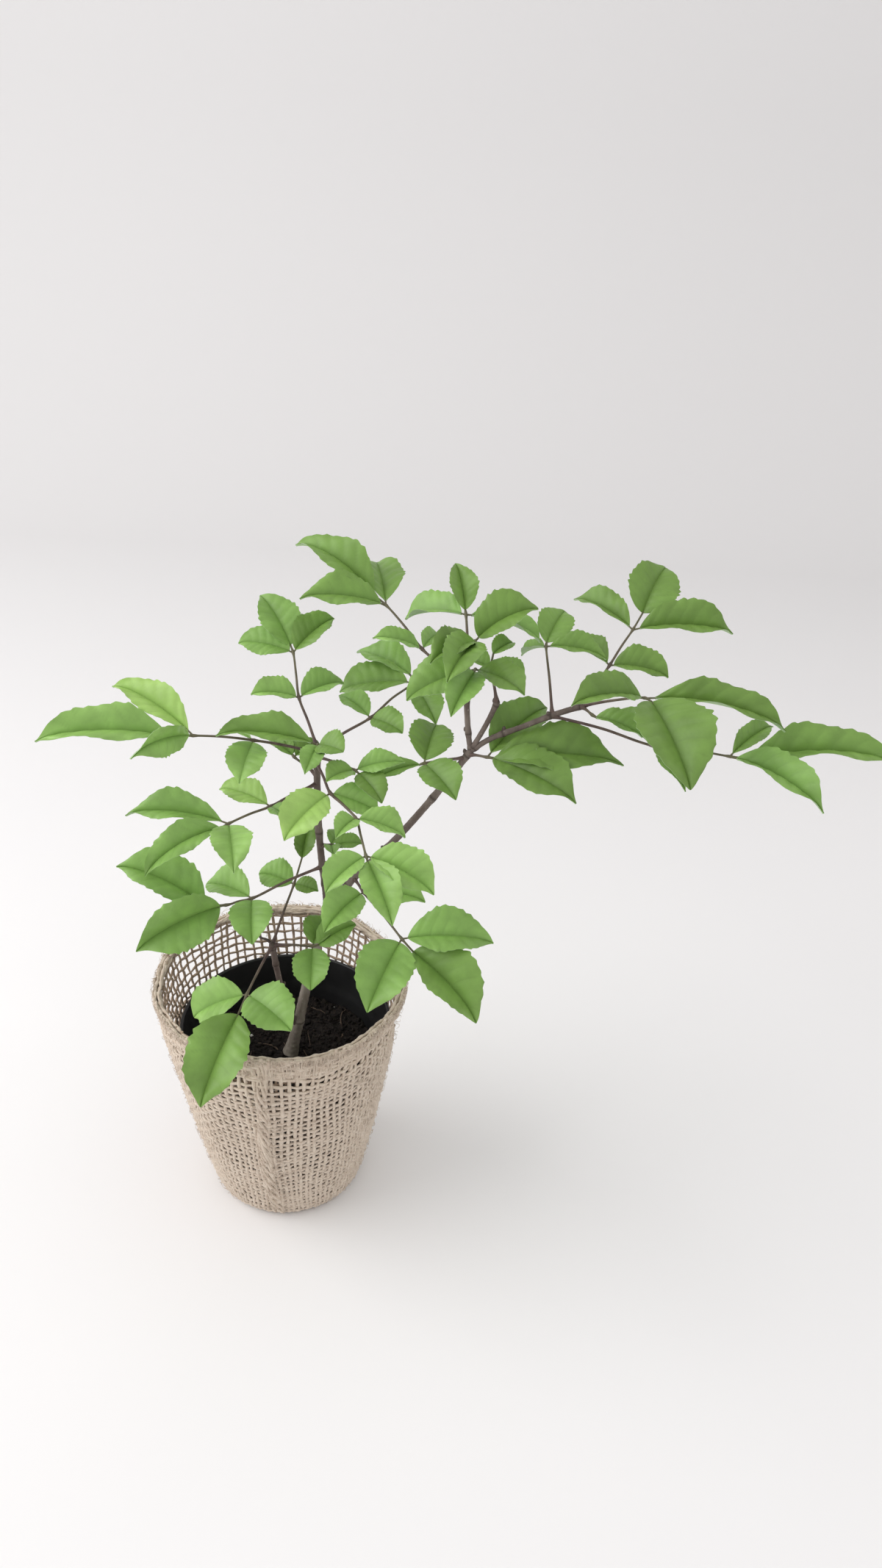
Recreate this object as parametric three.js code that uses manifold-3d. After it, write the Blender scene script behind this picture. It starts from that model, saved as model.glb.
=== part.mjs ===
// A young ash-type sapling in a thin nursery pot, the pot standing in a loose sleeve of open jute.
//
// Millimetres, +Z up. The origin is the centre of the sleeve's flat underside, on the surface that
// the plant stands on. +X is the side that the long bough reaches to, and -Y is the sleeve's seam.
//
// The wood is one trunk and six tapering limbs. Each compound leaf is a thin stalk with pairs of
// leaflets and one leaflet at its end, and each mass of foliage is one such leaf in one body.

import * as THREE from 'three';
import { mergeVertices } from 'three/addons/utils/BufferGeometryUtils.js';
import Module from 'manifold-3d';

const wasm = await Module();
wasm.setup();

// ---------------------------------------------------------------- driving dimensions

const GAP = 0.3; // clearance between pieces that touch on the real plant

const SLEEVE = {
  footRadius: 35, // flat underside
  footBulge: 2, // how much wider the wall is just above it
  rimRadius: 58.8,
  height: 120.5, // mean height of the rim
  belly: 0.92, // power of the wall's widening with height
  wall: 1.4,
  floor: 1.5,
  floorInset: 0.4, // how far the floor's upper edge lies inside the foot
  rimWave: 2.5, // how far the rim rises at the back and dips at the seam
  rimRipple: 0.8,
  waveFrom: 0.6, // share of the height where the rim's waves begin
  seamRidge: 1.4, // how far the gathered seam stands out
  seamSpan: 0.16, // radians that the ridge is wide
  ripple: 0.7, // how far soft folds stand out all round
  smoothFoot: 3, // the folds grow over the height divided by this
  lean: 2.5, // how far the mouth leans towards -X
  tuck: 0.13, // share by which the mouth's -Y side is drawn in
  tuckFrom: 101, // height where that begins, above the pot's lip
  segments: 42,
};

const POT = {
  footRadius: 33,
  rimRadius: 50,
  height: 96,
  wall: 1.0,
  belly: 0.9, // power of the wall's widening with height
  levels: [0, 0.3, 0.65], // shares of the height where the wall has rings of points
  lip: 1.2, // how far the rolled rim stands out
  lipDrop: 3,
  segments: 36,
};

const SOIL = {
  top: 75,
  wave: 1.1, // how far the surface rises and falls
  flatRadius: 9, // level round the trunk
  rings: [0.7, 0.42], // shares of the radius where the surface has rings of points
  settle: 0.2, // how much narrower than the pot
};

const BARK_SIDES = 8;
const LIMB_STEPS = 8;
const FLARE_FADE = 14; // how fast the trunk's flare fades, for its whole length
const BUD = { rise: 0.9, top: 0.5 }; // a limb's blunt end, in shares of its tip's radius

const LEAFLET = {
  thickness: 0.62,
  neck: 0.75, // half width where the leaflet joins its stalk
  fold: 34, // degrees that each half of the blade lifts from the midrib
  curl: 34, // degrees that the midrib turns down from its foot to its tip
  widest: 0.9, // power that moves the widest place; below 1 it is nearer the foot
  slender: 1.3, // power of the outline for a very narrow leaflet
  fullness: 0.8, // how much a broad one rounds it
  tip: { drawnIn: 0.35, from: 0.72, to: 0.98 }, // the drawn-out point, and its shares of the length
  steps: 5,
};

const STALK = {
  footRadius: 0.75,
  endRadius: 0.55,
  sides: 4,
  arch: 5, // degrees that the stalk's first half is steeper
  knee: 1.6, // radius of the swelling at a joint
};

const LEAN = new THREE.Vector3(0.1, -0.45, 1).normalize(); // blades face up and a little to the light

const COLOURS = {
  jute: '#b59a7c',
  plastic: '#161719',
  soil: '#221b17',
  bark: '#7d7168',
  twig: '#5f5149',
  leaf: '#6d9a45',
};

// ---------------------------------------------------------------- wood

// Each limb runs through a few points; radii are at its foot and at its tip, where a joint swells it.
const LIMBS = {
  trunk: {
    points: [[2, 0, SOIL.top + GAP], [5.5, 2, 92], [9.5, 5, 113], [14.5, 8, 136], [19.5, 10, 159]],
    radii: [2.8, 2.1],
    flare: 1.4,
  },
  leader: {
    points: [[19.5, 10, 159], [18.5, 10.5, 171], [16.5, 11.5, 189], [15, 13, 212], [14.5, 15, 243]],
    radii: [1.7, 1.5],
  },
  right_bough: {
    points: [[19.5, 10, 159], [32, 11, 176], [49, 13, 195], [69.5, 17, 222], [83, 20, 242]],
    radii: [1.8, 1.5],
  },
  right_upright: {
    points: [[83, 20, 242], [81.5, 21, 250], [79.5, 22, 271], [79, 24, 290]],
    radii: [1.2, 1.3],
  },
  right_middle: {
    points: [[83, 20, 242], [89, 19, 256], [93, 19, 267]],
    radii: [1.1, 1.2],
  },
  right_outer: {
    points: [[83, 20, 242], [91, 19, 249], [105, 19, 256], [118, 20, 262], [131, 21, 267]],
    radii: [1.2, 1.3],
  },
  low_shoot: {
    points: [[5.5, 2, 90], [-0.5, -4, 117], [-2.5, -8, 135], [-3.5, -12, 152]],
    radii: [1.2, 1.5],
  },
};

// ---------------------------------------------------------------- foliage

// One compound leaf leaves its limb at a place along it, 0 to 1, with a heading in degrees: turn
// from +X towards +Y, and rise above the level. Its pairs of leaflets follow, and its end leaflet.
//   reach: stalk to this pair          sweep, bend: what the stalk turns and rises before it
//   size: length of the leaflets       uneven: how much longer the left one is, as a share
//   spread: their angle to the stalk   skew: turn of both about the joint
//   lift, bank: their rise, and how much more the left one has than the right
//   bare: the hand, 1 left or -1 right, that has no leaflet
// Its breadth is the full width of a leaflet over its length. A pair or an end leaflet may have a
// breadth, fold, curl or roll of its own; two values are the left one's and the right one's.
const PAIR_RULE = {
  reach: 28,
  sweep: 0,
  bend: 0,
  size: 28,
  uneven: 0,
  spread: 66,
  skew: 0,
  lift: 0,
  bank: 0,
  bare: 0,
};

// The end leaflet stands a gap past the last pair, turned by its hook.
const END_RULE = { gap: 4, size: 34, hook: 0, rise: -10 };

const FOLIAGE = {
  foliage_low_front: {
    limb: 'low_shoot',
    at: 1,
    turn: -112,
    rise: -30,
    breadth: 0.66,
    pairs: [
      { reach: 26, size: 31, spread: 70, lift: -17, bank: 13, breadth: [0.78, 0.74], fold: [20, 26] },
    ],
    end: { gap: 10, size: 45, hook: 5, rise: -32, fold: 26 },
  },
  foliage_low_right: {
    limb: 'low_shoot',
    at: 1,
    turn: -5,
    rise: 3,
    breadth: 0.82,
    pairs: [{ reach: 19, size: 20, uneven: -0.1, spread: 80, lift: -5, bank: 25, fold: 22 }],
    end: { gap: 3, size: 20, hook: 30, rise: 20 },
  },
  foliage_low_back: {
    limb: 'low_shoot',
    at: 1,
    turn: 70,
    rise: 40,
    breadth: 0.6,
    pairs: [{ reach: 30, size: 16, uneven: 0.2, spread: 90, breadth: [0.85, 0.74], fold: 20 }],
    end: { gap: 13, size: 20, hook: 5, rise: 50 },
  },
  foliage_low_left: {
    limb: 'leader',
    at: 0.27,
    turn: -150,
    rise: -15,
    breadth: 0.6,
    pairs: [
      {
        reach: 36, size: 27, uneven: -0.05, spread: 65, skew: 5, lift: -10, bank: -5,
        breadth: [0.76, 0.66], fold: [22, 30],
      },
      { reach: 12, size: 46, spread: 20, lift: -8, sweep: -10, bend: 5, bare: -1, roll: -40 },
    ],
    end: { gap: 10, size: 45, hook: -30, rise: 17 },
  },
  foliage_leader_mid: {
    limb: 'leader',
    at: 0.4,
    turn: 0,
    rise: 5,
    breadth: 0.7,
    pairs: [{ reach: 5, size: 12, uneven: 0.1, spread: 76, lift: 4, bank: -4, fold: 24 }],
    end: { gap: 2, size: 13, rise: 8, fold: 24 },
  },
  foliage_left_upper: {
    limb: 'leader',
    at: 0.96,
    turn: -165,
    rise: 15,
    breadth: 0.4,
    pairs: [
      {
        reach: 29, size: 25, spread: 62, skew: 5, lift: -15, bank: -5,
        breadth: [0.68, 0.32], fold: [16, 34],
      },
      { reach: 26, size: 42, uneven: -0.1, spread: 45, lift: 12, bank: -2, bend: -8, roll: [-64, 0] },
    ],
    end: { gap: 10, size: 55, rise: 0 },
  },
  foliage_left_lower: {
    limb: 'leader',
    at: 0.78,
    turn: -135,
    rise: -7,
    breadth: 0.42,
    pairs: [
      { reach: 26, size: 23, uneven: -0.25, spread: 80, skew: 5, breadth: [0.62, 0.5], fold: 24 },
      {
        reach: 22, size: 40, uneven: -0.2, spread: 57, skew: 4, lift: -5, bank: -2, bend: 4,
        breadth: [0.58, 0.38], fold: [22, 38],
      },
    ],
    end: { gap: 4, size: 40, hook: -10, rise: -20, curl: 56 },
  },
  foliage_left_inner: {
    limb: 'leader',
    at: 0.83,
    turn: 150,
    rise: 20,
    breadth: 0.7,
    pairs: [{ reach: 14, size: 15, spread: 50, skew: -55, lift: 8, bank: 3 }],
    end: { gap: 2, size: 15, hook: -55, rise: 10 },
  },
  foliage_leader_top: {
    limb: 'leader',
    at: 1,
    turn: 120,
    rise: 35,
    breadth: 0.68,
    pairs: [
      { reach: 25, size: 23, uneven: -0.05, spread: 80, lift: 7, bank: 2 },
      { reach: 23, size: 27, spread: 65, lift: 16, bank: -11, sweep: -15, fold: [20, 36] },
    ],
    end: { gap: 4, size: 29, hook: 28, rise: 38, fold: 22 },
  },
  foliage_leader_tip: {
    limb: 'leader',
    at: 0.985,
    turn: -80,
    rise: 35,
    breadth: 0.48,
    pairs: [
      {
        reach: 12, size: 30, uneven: -0.5, spread: 70, skew: -25, lift: 5,
        breadth: [1, 0.4], fold: [20, 38],
      },
    ],
    end: { gap: 2, size: 18, hook: -20, rise: -15, breadth: 0.62, fold: 22 },
  },
  foliage_centre_back: {
    limb: 'leader',
    at: 0.97,
    turn: 45,
    rise: 10,
    breadth: 0.6,
    pairs: [
      { reach: 32, size: 20, uneven: 0.05, spread: 85, skew: 8, lift: 4, bank: 8, fold: 24, breadth: [0.6, 0.8] },
      { reach: 32, size: 33, uneven: 0.15, spread: 114, lift: -18, bank: 5, sweep: 10, fold: 22 },
    ],
    end: { gap: 7, size: 32, hook: 95, rise: 6, fold: 28 },
  },
  foliage_centre_front: {
    limb: 'leader',
    at: 0.9,
    turn: -70,
    rise: -5,
    breadth: 0.66,
    pairs: [
      { reach: 25, size: 27, uneven: -0.12, spread: 58, lift: -20, bank: 2, fold: 24 },
      { reach: 22, size: 20, uneven: 0.15, spread: 58, lift: -10, bank: -10, sweep: 15 },
      { reach: 24, size: 28, uneven: 0.15, spread: 56, lift: -17, sweep: -20, bend: -5 },
    ],
    end: { gap: 3, size: 30, hook: 10, rise: -27, breadth: 0.6 },
  },
  foliage_centre_right: {
    limb: 'leader',
    at: 0.94,
    turn: -40,
    rise: 4,
    breadth: 0.74,
    pairs: [
      {
        reach: 24, size: 20, uneven: 0.15, spread: 65, skew: -25, lift: 9, bank: 6,
        breadth: [0.5, 0.74], fold: 24,
      },
    ],
    end: { gap: 3, size: 19, hook: -10, rise: -18, fold: 22 },
  },
  foliage_front_right: {
    limb: 'right_bough',
    at: 0.2,
    turn: -65,
    rise: 0,
    breadth: 0.68,
    pairs: [
      { reach: 13, size: 29, spread: 58, lift: -7, bank: 7 },
      {
        reach: 34, size: 40, uneven: 0.04, spread: 57, lift: -12, bank: 12, sweep: 10, bend: -10,
        breadth: [0.58, 0.68], fold: 26,
      },
    ],
    end: { gap: 8, size: 42, hook: 20, rise: -28 },
  },
  foliage_fork_left: {
    limb: 'right_bough',
    at: 0.96,
    turn: -155,
    rise: 0,
    breadth: 0.4,
    pairs: [
      {
        reach: 20, size: 27, spread: 112, skew: -13, lift: 2, bank: -13,
        breadth: [0.72, 0.76], fold: [26, 20],
      },
    ],
    end: { gap: 2, size: 23, hook: -8, rise: -18 },
  },
  foliage_fork_right: {
    limb: 'right_bough',
    at: 0.98,
    turn: -30,
    rise: 8,
    breadth: 0.46,
    pairs: [
      {
        reach: 10, size: 46, uneven: -0.05, spread: 43, skew: 37, lift: 5, bank: 10,
        breadth: 0.54, fold: [30, 22],
      },
    ],
    end: { gap: 4, size: 57, hook: 28, rise: 3, fold: 26 },
  },
  foliage_crown_back: {
    limb: 'right_upright',
    at: 0.6,
    turn: 140,
    rise: 20,
    breadth: 0.5,
    pairs: [
      { reach: 29, size: 22, uneven: 0.08, spread: 65, skew: -8, lift: 10, bank: 8, fold: 26 },
      {
        reach: 28, size: 42, uneven: -0.05, spread: 48, skew: 12, lift: 8, sweep: -5, bend: 5,
        fold: [28, 22],
      },
    ],
    end: { gap: 8, size: 47, hook: 20, rise: 19, curl: 56, fold: 34, breadth: 0.44 },
  },
  foliage_crown_top: {
    limb: 'right_upright',
    at: 1,
    turn: 100,
    rise: 50,
    breadth: 0.64,
    pairs: [
      {
        reach: 15, size: 36, uneven: -0.08, spread: 68, skew: -18, lift: -18, bank: 3,
        breadth: [0.58, 0.42],
      },
    ],
    end: { gap: 2, size: 22, hook: 10, rise: 45 },
  },
  foliage_crown_middle: {
    limb: 'right_upright',
    at: 0.96,
    turn: -70,
    rise: 45,
    breadth: 0.6,
    pairs: [
      {
        reach: 12, size: 30, spread: 68, skew: 8, lift: 13, bank: 15,
        breadth: [0.72, 0.56], curl: [50, 34],
      },
    ],
    end: { gap: 4, size: 32, hook: -42, rise: -8 },
  },
  foliage_crown_front: {
    limb: 'right_upright',
    at: 0.6,
    turn: -80,
    rise: 45,
    breadth: 0.64,
    pairs: [{ reach: 24, size: 30, uneven: -0.1, spread: 64, skew: -22, lift: -14, bank: 6, fold: 22 }],
    end: { gap: 6, size: 27, hook: -30, rise: -18 },
  },
  foliage_middle: {
    limb: 'right_middle',
    at: 1,
    turn: 120,
    rise: 60,
    breadth: 0.8,
    pairs: [{ reach: 15, size: 17, spread: 70, skew: -40, lift: -8, bank: 9 }],
    end: { gap: 8, size: 13, hook: -75, rise: 8 },
  },
  foliage_right_up: {
    limb: 'right_outer',
    at: 0.74,
    turn: 100,
    rise: 45,
    breadth: 0.5,
    pairs: [{ reach: 32, size: 24, uneven: -0.2, spread: 68, skew: -40, lift: -20, bank: -14 }],
    end: { gap: 2, size: 21, hook: -35, rise: 25, breadth: 0.8, fold: 22 },
  },
  foliage_right_back: {
    limb: 'right_outer',
    at: 1,
    turn: 60,
    rise: 20,
    breadth: 0.5,
    pairs: [
      { reach: 27, size: 28, spread: 72, bank: 5, breadth: [0.56, 0.7] },
      { reach: 25, size: 41, uneven: -0.12, spread: 72, skew: 8, lift: 6, bank: 2, fold: 40 },
    ],
    end: { gap: 11, size: 29, rise: 35, breadth: 0.86, fold: 20 },
  },
  foliage_right_front: {
    limb: 'right_outer',
    at: 0.99,
    turn: -35,
    rise: 22,
    breadth: 0.5,
    pairs: [
      {
        reach: 32, size: 51, uneven: 0.2, spread: 71, skew: -44, lift: 0, bank: -8,
        breadth: [0.32, 0.5], fold: [42, 34],
      },
    ],
    end: { gap: 4, size: 47, hook: -38, rise: -24, breadth: 0.74, fold: 28 },
  },
  foliage_right_under: {
    limb: 'right_outer',
    at: 0.98,
    turn: -65,
    rise: 0,
    breadth: 0.6,
    pairs: [{ reach: 10, size: 0 }],
    end: { gap: 2, size: 22, hook: 40, rise: -11 },
  },
  foliage_right_tip: {
    limb: 'right_outer',
    at: 0.73,
    turn: -15,
    rise: -10,
    breadth: 0.44,
    pairs: [
      { reach: 46, size: 30, uneven: 0.05, spread: 93, skew: 47, lift: -6, bank: 12 },
      {
        reach: 33, size: 39, uneven: -0.23, spread: 42, skew: 8, lift: 5, bank: 9, sweep: 5, bend: 7,
        breadth: [0.4, 0.44], fold: [30, 40],
      },
    ],
    end: { gap: 8, size: 62, hook: 5, rise: 4, breadth: 0.37, fold: 38 },
  },
};

// Seeded scatter, so that no two leaflets are alike.
const SCATTER = { turn: 2, rise: 2, roll: 5, length: 0.03 };

// ---------------------------------------------------------------- solids

function solidFrom(geometry) {
  const bare = geometry.clone();
  bare.deleteAttribute('normal');
  bare.deleteAttribute('uv');
  const merged = mergeVertices(bare, 1e-4);
  const mesh = new wasm.Mesh({
    numProp: 3,
    vertProperties: new Float32Array(merged.attributes.position.array),
    triVerts: new Uint32Array(merged.index.array),
  });
  return new wasm.Manifold(mesh);
}

function geometryFrom(solid) {
  const { vertProperties, triVerts } = solid.getMesh();
  const geometry = new THREE.BufferGeometry();
  geometry.setAttribute('position', new THREE.BufferAttribute(vertProperties, 3));
  geometry.setIndex(new THREE.BufferAttribute(triVerts, 1));
  geometry.computeVertexNormals();
  return geometry;
}

// The largest connected body of a solid.
function largestBody(solid) {
  const bodies = solid.decompose();
  bodies.sort((a, b) => b.volume() - a.volume());
  return bodies[0];
}

// A closed skin through rings of equally many points; the two end rings are capped, or are points.
function loft(rings) {
  const positions = [];
  const starts = [];
  for (const ring of rings) {
    starts.push(positions.length / 3);
    for (const point of ring) positions.push(point.x, point.y, point.z);
  }
  const index = [];
  for (let r = 0; r + 1 < rings.length; r += 1) {
    const size = Math.max(rings[r].length, rings[r + 1].length);
    const near = (k) => starts[r] + (rings[r].length === 1 ? 0 : k % size);
    const far = (k) => starts[r + 1] + (rings[r + 1].length === 1 ? 0 : k % size);
    for (let k = 0; k < size; k += 1) {
      if (rings[r].length > 1) index.push(near(k), near(k + 1), far(k));
      if (rings[r + 1].length > 1) index.push(near(k + 1), far(k + 1), far(k));
    }
  }
  const last = rings.length - 1;
  for (let k = 1; k + 1 < rings[0].length; k += 1) index.push(starts[0], starts[0] + k + 1, starts[0] + k);
  for (let k = 1; k + 1 < rings[last].length; k += 1) {
    index.push(starts[last], starts[last] + k, starts[last] + k + 1);
  }
  const geometry = new THREE.BufferGeometry();
  geometry.setAttribute('position', new THREE.Float32BufferAttribute(positions, 3));
  geometry.setIndex(index);
  return geometry;
}

// ---------------------------------------------------------------- headings and chance

function heading(turn, rise) {
  const a = THREE.MathUtils.degToRad(turn);
  const b = THREE.MathUtils.degToRad(rise);
  return new THREE.Vector3(Math.cos(a) * Math.cos(b), Math.sin(a) * Math.cos(b), Math.sin(b));
}

// Repeatable chance from -1 to 1.
function chance(seed, draw) {
  const wave = Math.sin(seed * 12.9898 + draw * 78.233) * 43758.5453;
  return (wave - Math.floor(wave)) * 2 - 1;
}

// ---------------------------------------------------------------- wood solids

function limbCurve(limb) {
  return new THREE.CatmullRomCurve3(limb.points.map((p) => new THREE.Vector3(...p)), false, 'centripetal');
}

function limbRadius(limb, t) {
  const [foot, tip] = limb.radii;
  const flare = (limb.flare ?? 0) * Math.exp(-t * FLARE_FADE);
  return foot + (tip - foot) * t + flare;
}

// A round tapering bar along a curve, made larger all round by grow; a flared foot is cut level.
function limbGeometry(limb, grow = 0) {
  const curve = limbCurve(limb);
  const rings = [];
  let side = new THREE.Vector3(1, 0, 0);
  for (let step = 0; step <= LIMB_STEPS; step += 1) {
    const t = step / LIMB_STEPS;
    const centre = curve.getPoint(t);
    const along = curve.getTangent(t);
    if (step === 0 && limb.flare) along.set(0, 0, 1);
    side = side.clone().addScaledVector(along, -side.dot(along)).normalize();
    const other = new THREE.Vector3().crossVectors(along, side);
    const radius = limbRadius(limb, t);
    if (step === 0) centre.addScaledVector(along, -grow);
    const addRing = (middle, size) => rings.push(Array.from({ length: BARK_SIDES }, (_, k) => {
      const angle = (k / BARK_SIDES) * Math.PI * 2;
      return middle.clone()
        .addScaledVector(side, Math.cos(angle) * size)
        .addScaledVector(other, Math.sin(angle) * size);
    }));
    addRing(centre, radius + grow);
    if (step < LIMB_STEPS) continue;
    centre.addScaledVector(along, radius * BUD.rise + grow);
    addRing(centre, radius * BUD.top + grow);
  }
  return loft(rings);
}

// ---------------------------------------------------------------- leaf solids

// Half width of a leaflet at t from foot to tip, over its widest: an oval with a drawn-out point.
function outline(t, breadth) {
  const power = LEAFLET.slender - LEAFLET.fullness * breadth;
  const { drawnIn, from, to } = LEAFLET.tip;
  const point = 1 - drawnIn * THREE.MathUtils.smoothstep(t, from, to);
  return Math.sin(Math.PI * t ** LEAFLET.widest) ** power * point;
}

// One leaflet: a thin blade folded up from its midrib, which turns down towards the tip.
function leafletGeometry(leaflet) {
  const { foot, turn, rise, length, roll, breadth, curl } = leaflet;
  const rings = [];
  const fold = THREE.MathUtils.degToRad(leaflet.fold);
  const halfWidth = (length * breadth) / 2;
  const stride = length / LEAFLET.steps;
  let spine = foot.clone();
  for (let step = 0; step <= LEAFLET.steps; step += 1) {
    const t = step / LEAFLET.steps;
    const along = heading(turn, rise + curl * (0.5 - t));
    const across = new THREE.Vector3().crossVectors(LEAN, along).normalize();
    across.applyAxisAngle(along, THREE.MathUtils.degToRad(roll));
    const up = new THREE.Vector3().crossVectors(along, across);
    if (step === LEAFLET.steps) {
      rings.push([spine.clone()]);
      break;
    }
    const half = step === 0 ? LEAFLET.neck : Math.max(LEAFLET.neck, halfWidth * outline(t, breadth));
    const reach = half * Math.cos(fold);
    const raise = half * Math.sin(fold);
    const ring = [];
    for (const layer of [0.5, -0.5]) {
      for (const edge of [1, 0, -1]) {
        const side = layer > 0 ? edge : -edge;
        ring.push(spine.clone()
          .addScaledVector(across, side * reach)
          .addScaledVector(up, Math.abs(side) * raise + layer * LEAFLET.thickness));
      }
    }
    rings.push(ring);
    spine = spine.clone().addScaledVector(along, stride);
  }
  return loft(rings);
}

function stalkGeometry(points) {
  const rings = [];
  for (let k = 0; k < points.length; k += 1) {
    const before = points[Math.max(0, k - 1)];
    const after = points[Math.min(points.length - 1, k + 1)];
    const along = after.clone().sub(before).normalize();
    const side = new THREE.Vector3().crossVectors(LEAN, along).normalize();
    const up = new THREE.Vector3().crossVectors(along, side);
    const radius = THREE.MathUtils.lerp(STALK.footRadius, STALK.endRadius, k / (points.length - 1));
    const ring = [];
    for (let n = 0; n < STALK.sides; n += 1) {
      const angle = ((n + 0.5) / STALK.sides) * Math.PI * 2;
      ring.push(points[k].clone()
        .addScaledVector(side, Math.cos(angle) * radius)
        .addScaledVector(up, Math.sin(angle) * radius));
    }
    rings.push(ring);
  }
  return loft(rings);
}

// A value given for both hands, or as [left, right]; hand is 1 for left.
function sided(value, hand) {
  if (!Array.isArray(value)) return value;
  return hand > 0 ? value[0] : value[1];
}

// Every leaflet of a compound leaf, as foot, heading, size and shape, and the points of its stalk.
function compoundLeaf(leaf, seed) {
  const stalk = [limbCurve(LIMBS[leaf.limb]).getPointAt(leaf.at)];
  const leaflets = [];
  let { turn, rise } = leaf;
  let draw = 0;
  const grow = (length, steer, lifts) => {
    for (const lift of lifts) {
      const from = stalk[stalk.length - 1];
      stalk.push(from.clone().addScaledVector(heading(steer, lift), length / lifts.length));
    }
  };
  const addLeaflet = (leafletTurn, leafletRise, length, given, hand) => {
    draw += 4;
    leaflets.push({
      foot: stalk[stalk.length - 1],
      turn: leafletTurn + SCATTER.turn * chance(seed, draw),
      rise: leafletRise + SCATTER.rise * chance(seed, draw + 1),
      roll: sided(given.roll ?? 0, hand) + SCATTER.roll * chance(seed, draw + 2),
      length: length * (1 + SCATTER.length * chance(seed, draw + 3)),
      breadth: sided(given.breadth ?? leaf.breadth, hand),
      fold: sided(given.fold ?? LEAFLET.fold, hand),
      curl: sided(given.curl ?? LEAFLET.curl, hand),
    });
  };
  for (const given of leaf.pairs) {
    const pair = { ...PAIR_RULE, ...given };
    turn += pair.sweep;
    rise += pair.bend;
    grow(pair.reach, turn, [rise + STALK.arch, rise]);
    if (pair.size === 0) continue;
    for (const hand of [1, -1]) {
      if (hand === pair.bare) continue;
      const size = pair.size * (1 + hand * pair.uneven);
      const leafletTurn = turn + pair.skew + hand * pair.spread;
      addLeaflet(leafletTurn, pair.lift + hand * pair.bank, size, pair, hand);
    }
  }
  const end = { ...END_RULE, ...leaf.end };
  grow(end.gap, turn + end.hook / 2, [(rise + end.rise) / 2]);
  addLeaflet(turn + end.hook, end.rise, end.size, end, 1);
  return { stalk, leaflets };
}

function foliageSolid(leaf, seed) {
  const { stalk, leaflets } = compoundLeaf(leaf, seed);
  let solid = solidFrom(stalkGeometry(stalk));
  for (const leaflet of leaflets) solid = solid.add(solidFrom(leafletGeometry(leaflet)));
  for (const foot of new Set(leaflets.map((leaflet) => leaflet.foot))) {
    const knee = new THREE.OctahedronGeometry(STALK.knee).translate(foot.x, foot.y, foot.z);
    solid = solid.add(solidFrom(knee));
  }
  for (const limb of Object.values(LIMBS)) solid = solid.subtract(solidFrom(limbGeometry(limb, GAP)));
  return largestBody(solid);
}

// ---------------------------------------------------------------- pot, soil and sleeve

function potRadius(z) {
  const share = (z - SLEEVE.floor - GAP) / POT.height;
  return POT.footRadius + (POT.rimRadius - POT.footRadius) * share ** POT.belly;
}

function turnedGeometry(profile, segments) {
  const points = profile.map(([radius, z]) => new THREE.Vector2(radius, z));
  return new THREE.LatheGeometry(points, segments).rotateX(Math.PI / 2);
}

function potGeometry() {
  const base = SLEEVE.floor + GAP;
  const rim = base + POT.height;
  const heights = POT.levels.map((share) => base + POT.height * share);
  const outside = heights.map((z) => [potRadius(z), z]);
  const inside = heights.slice(1).reverse().map((z) => [potRadius(z) - POT.wall, z]);
  return turnedGeometry([
    [0, base],
    ...outside,
    [potRadius(rim - POT.lipDrop), rim - POT.lipDrop],
    [POT.rimRadius + POT.lip, rim - POT.lipDrop],
    [POT.rimRadius + POT.lip, rim],
    [POT.rimRadius - POT.wall, rim],
    ...inside,
    [potRadius(base + POT.wall) - POT.wall, base + POT.wall],
    [0, base + POT.wall],
  ], POT.segments);
}

function soilGeometry() {
  const base = SLEEVE.floor + GAP + POT.wall + GAP;
  const side = (z) => potRadius(z) - POT.wall - GAP - SOIL.settle;
  const middle = (base + SOIL.top) / 2;
  const geometry = turnedGeometry([
    [0, base],
    [side(base), base],
    [side(middle), middle],
    [side(SOIL.top), SOIL.top - SOIL.wave],
    ...SOIL.rings.map((share) => [side(SOIL.top) * share, SOIL.top]),
    [SOIL.flatRadius, SOIL.top],
    [0, SOIL.top],
  ], POT.segments);
  const position = geometry.attributes.position;
  for (let k = 0; k < position.count; k += 1) {
    const x = position.getX(k);
    const y = position.getY(k);
    const isCrown = position.getZ(k) > SOIL.top - SOIL.wave - 0.01;
    if (isCrown && Math.hypot(x, y) > SOIL.flatRadius + 1) {
      const hump = Math.sin(x * 0.23 + 1) * Math.cos(y * 0.19 - x * 0.07);
      position.setZ(k, position.getZ(k) + SOIL.wave * hump);
    }
  }
  return geometry;
}

// How the sleeve departs from round at an angle: the seam and soft folds stand out, the rim waves.
function sleeveShape(angle) {
  const fromSeam = Math.atan2(Math.sin(angle + Math.PI / 2), Math.cos(angle + Math.PI / 2));
  const seam = Math.exp(-((fromSeam / SLEEVE.seamSpan) ** 2));
  const folds = 1 + 0.6 * Math.sin(angle * 5 + 0.6) + 0.4 * Math.sin(angle * 9 + 2);
  return {
    swell: SLEEVE.seamRidge * seam + SLEEVE.ripple * folds,
    rim: -SLEEVE.rimWave * Math.cos(fromSeam) + SLEEVE.rimRipple * Math.sin(angle * 7),
  };
}

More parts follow.
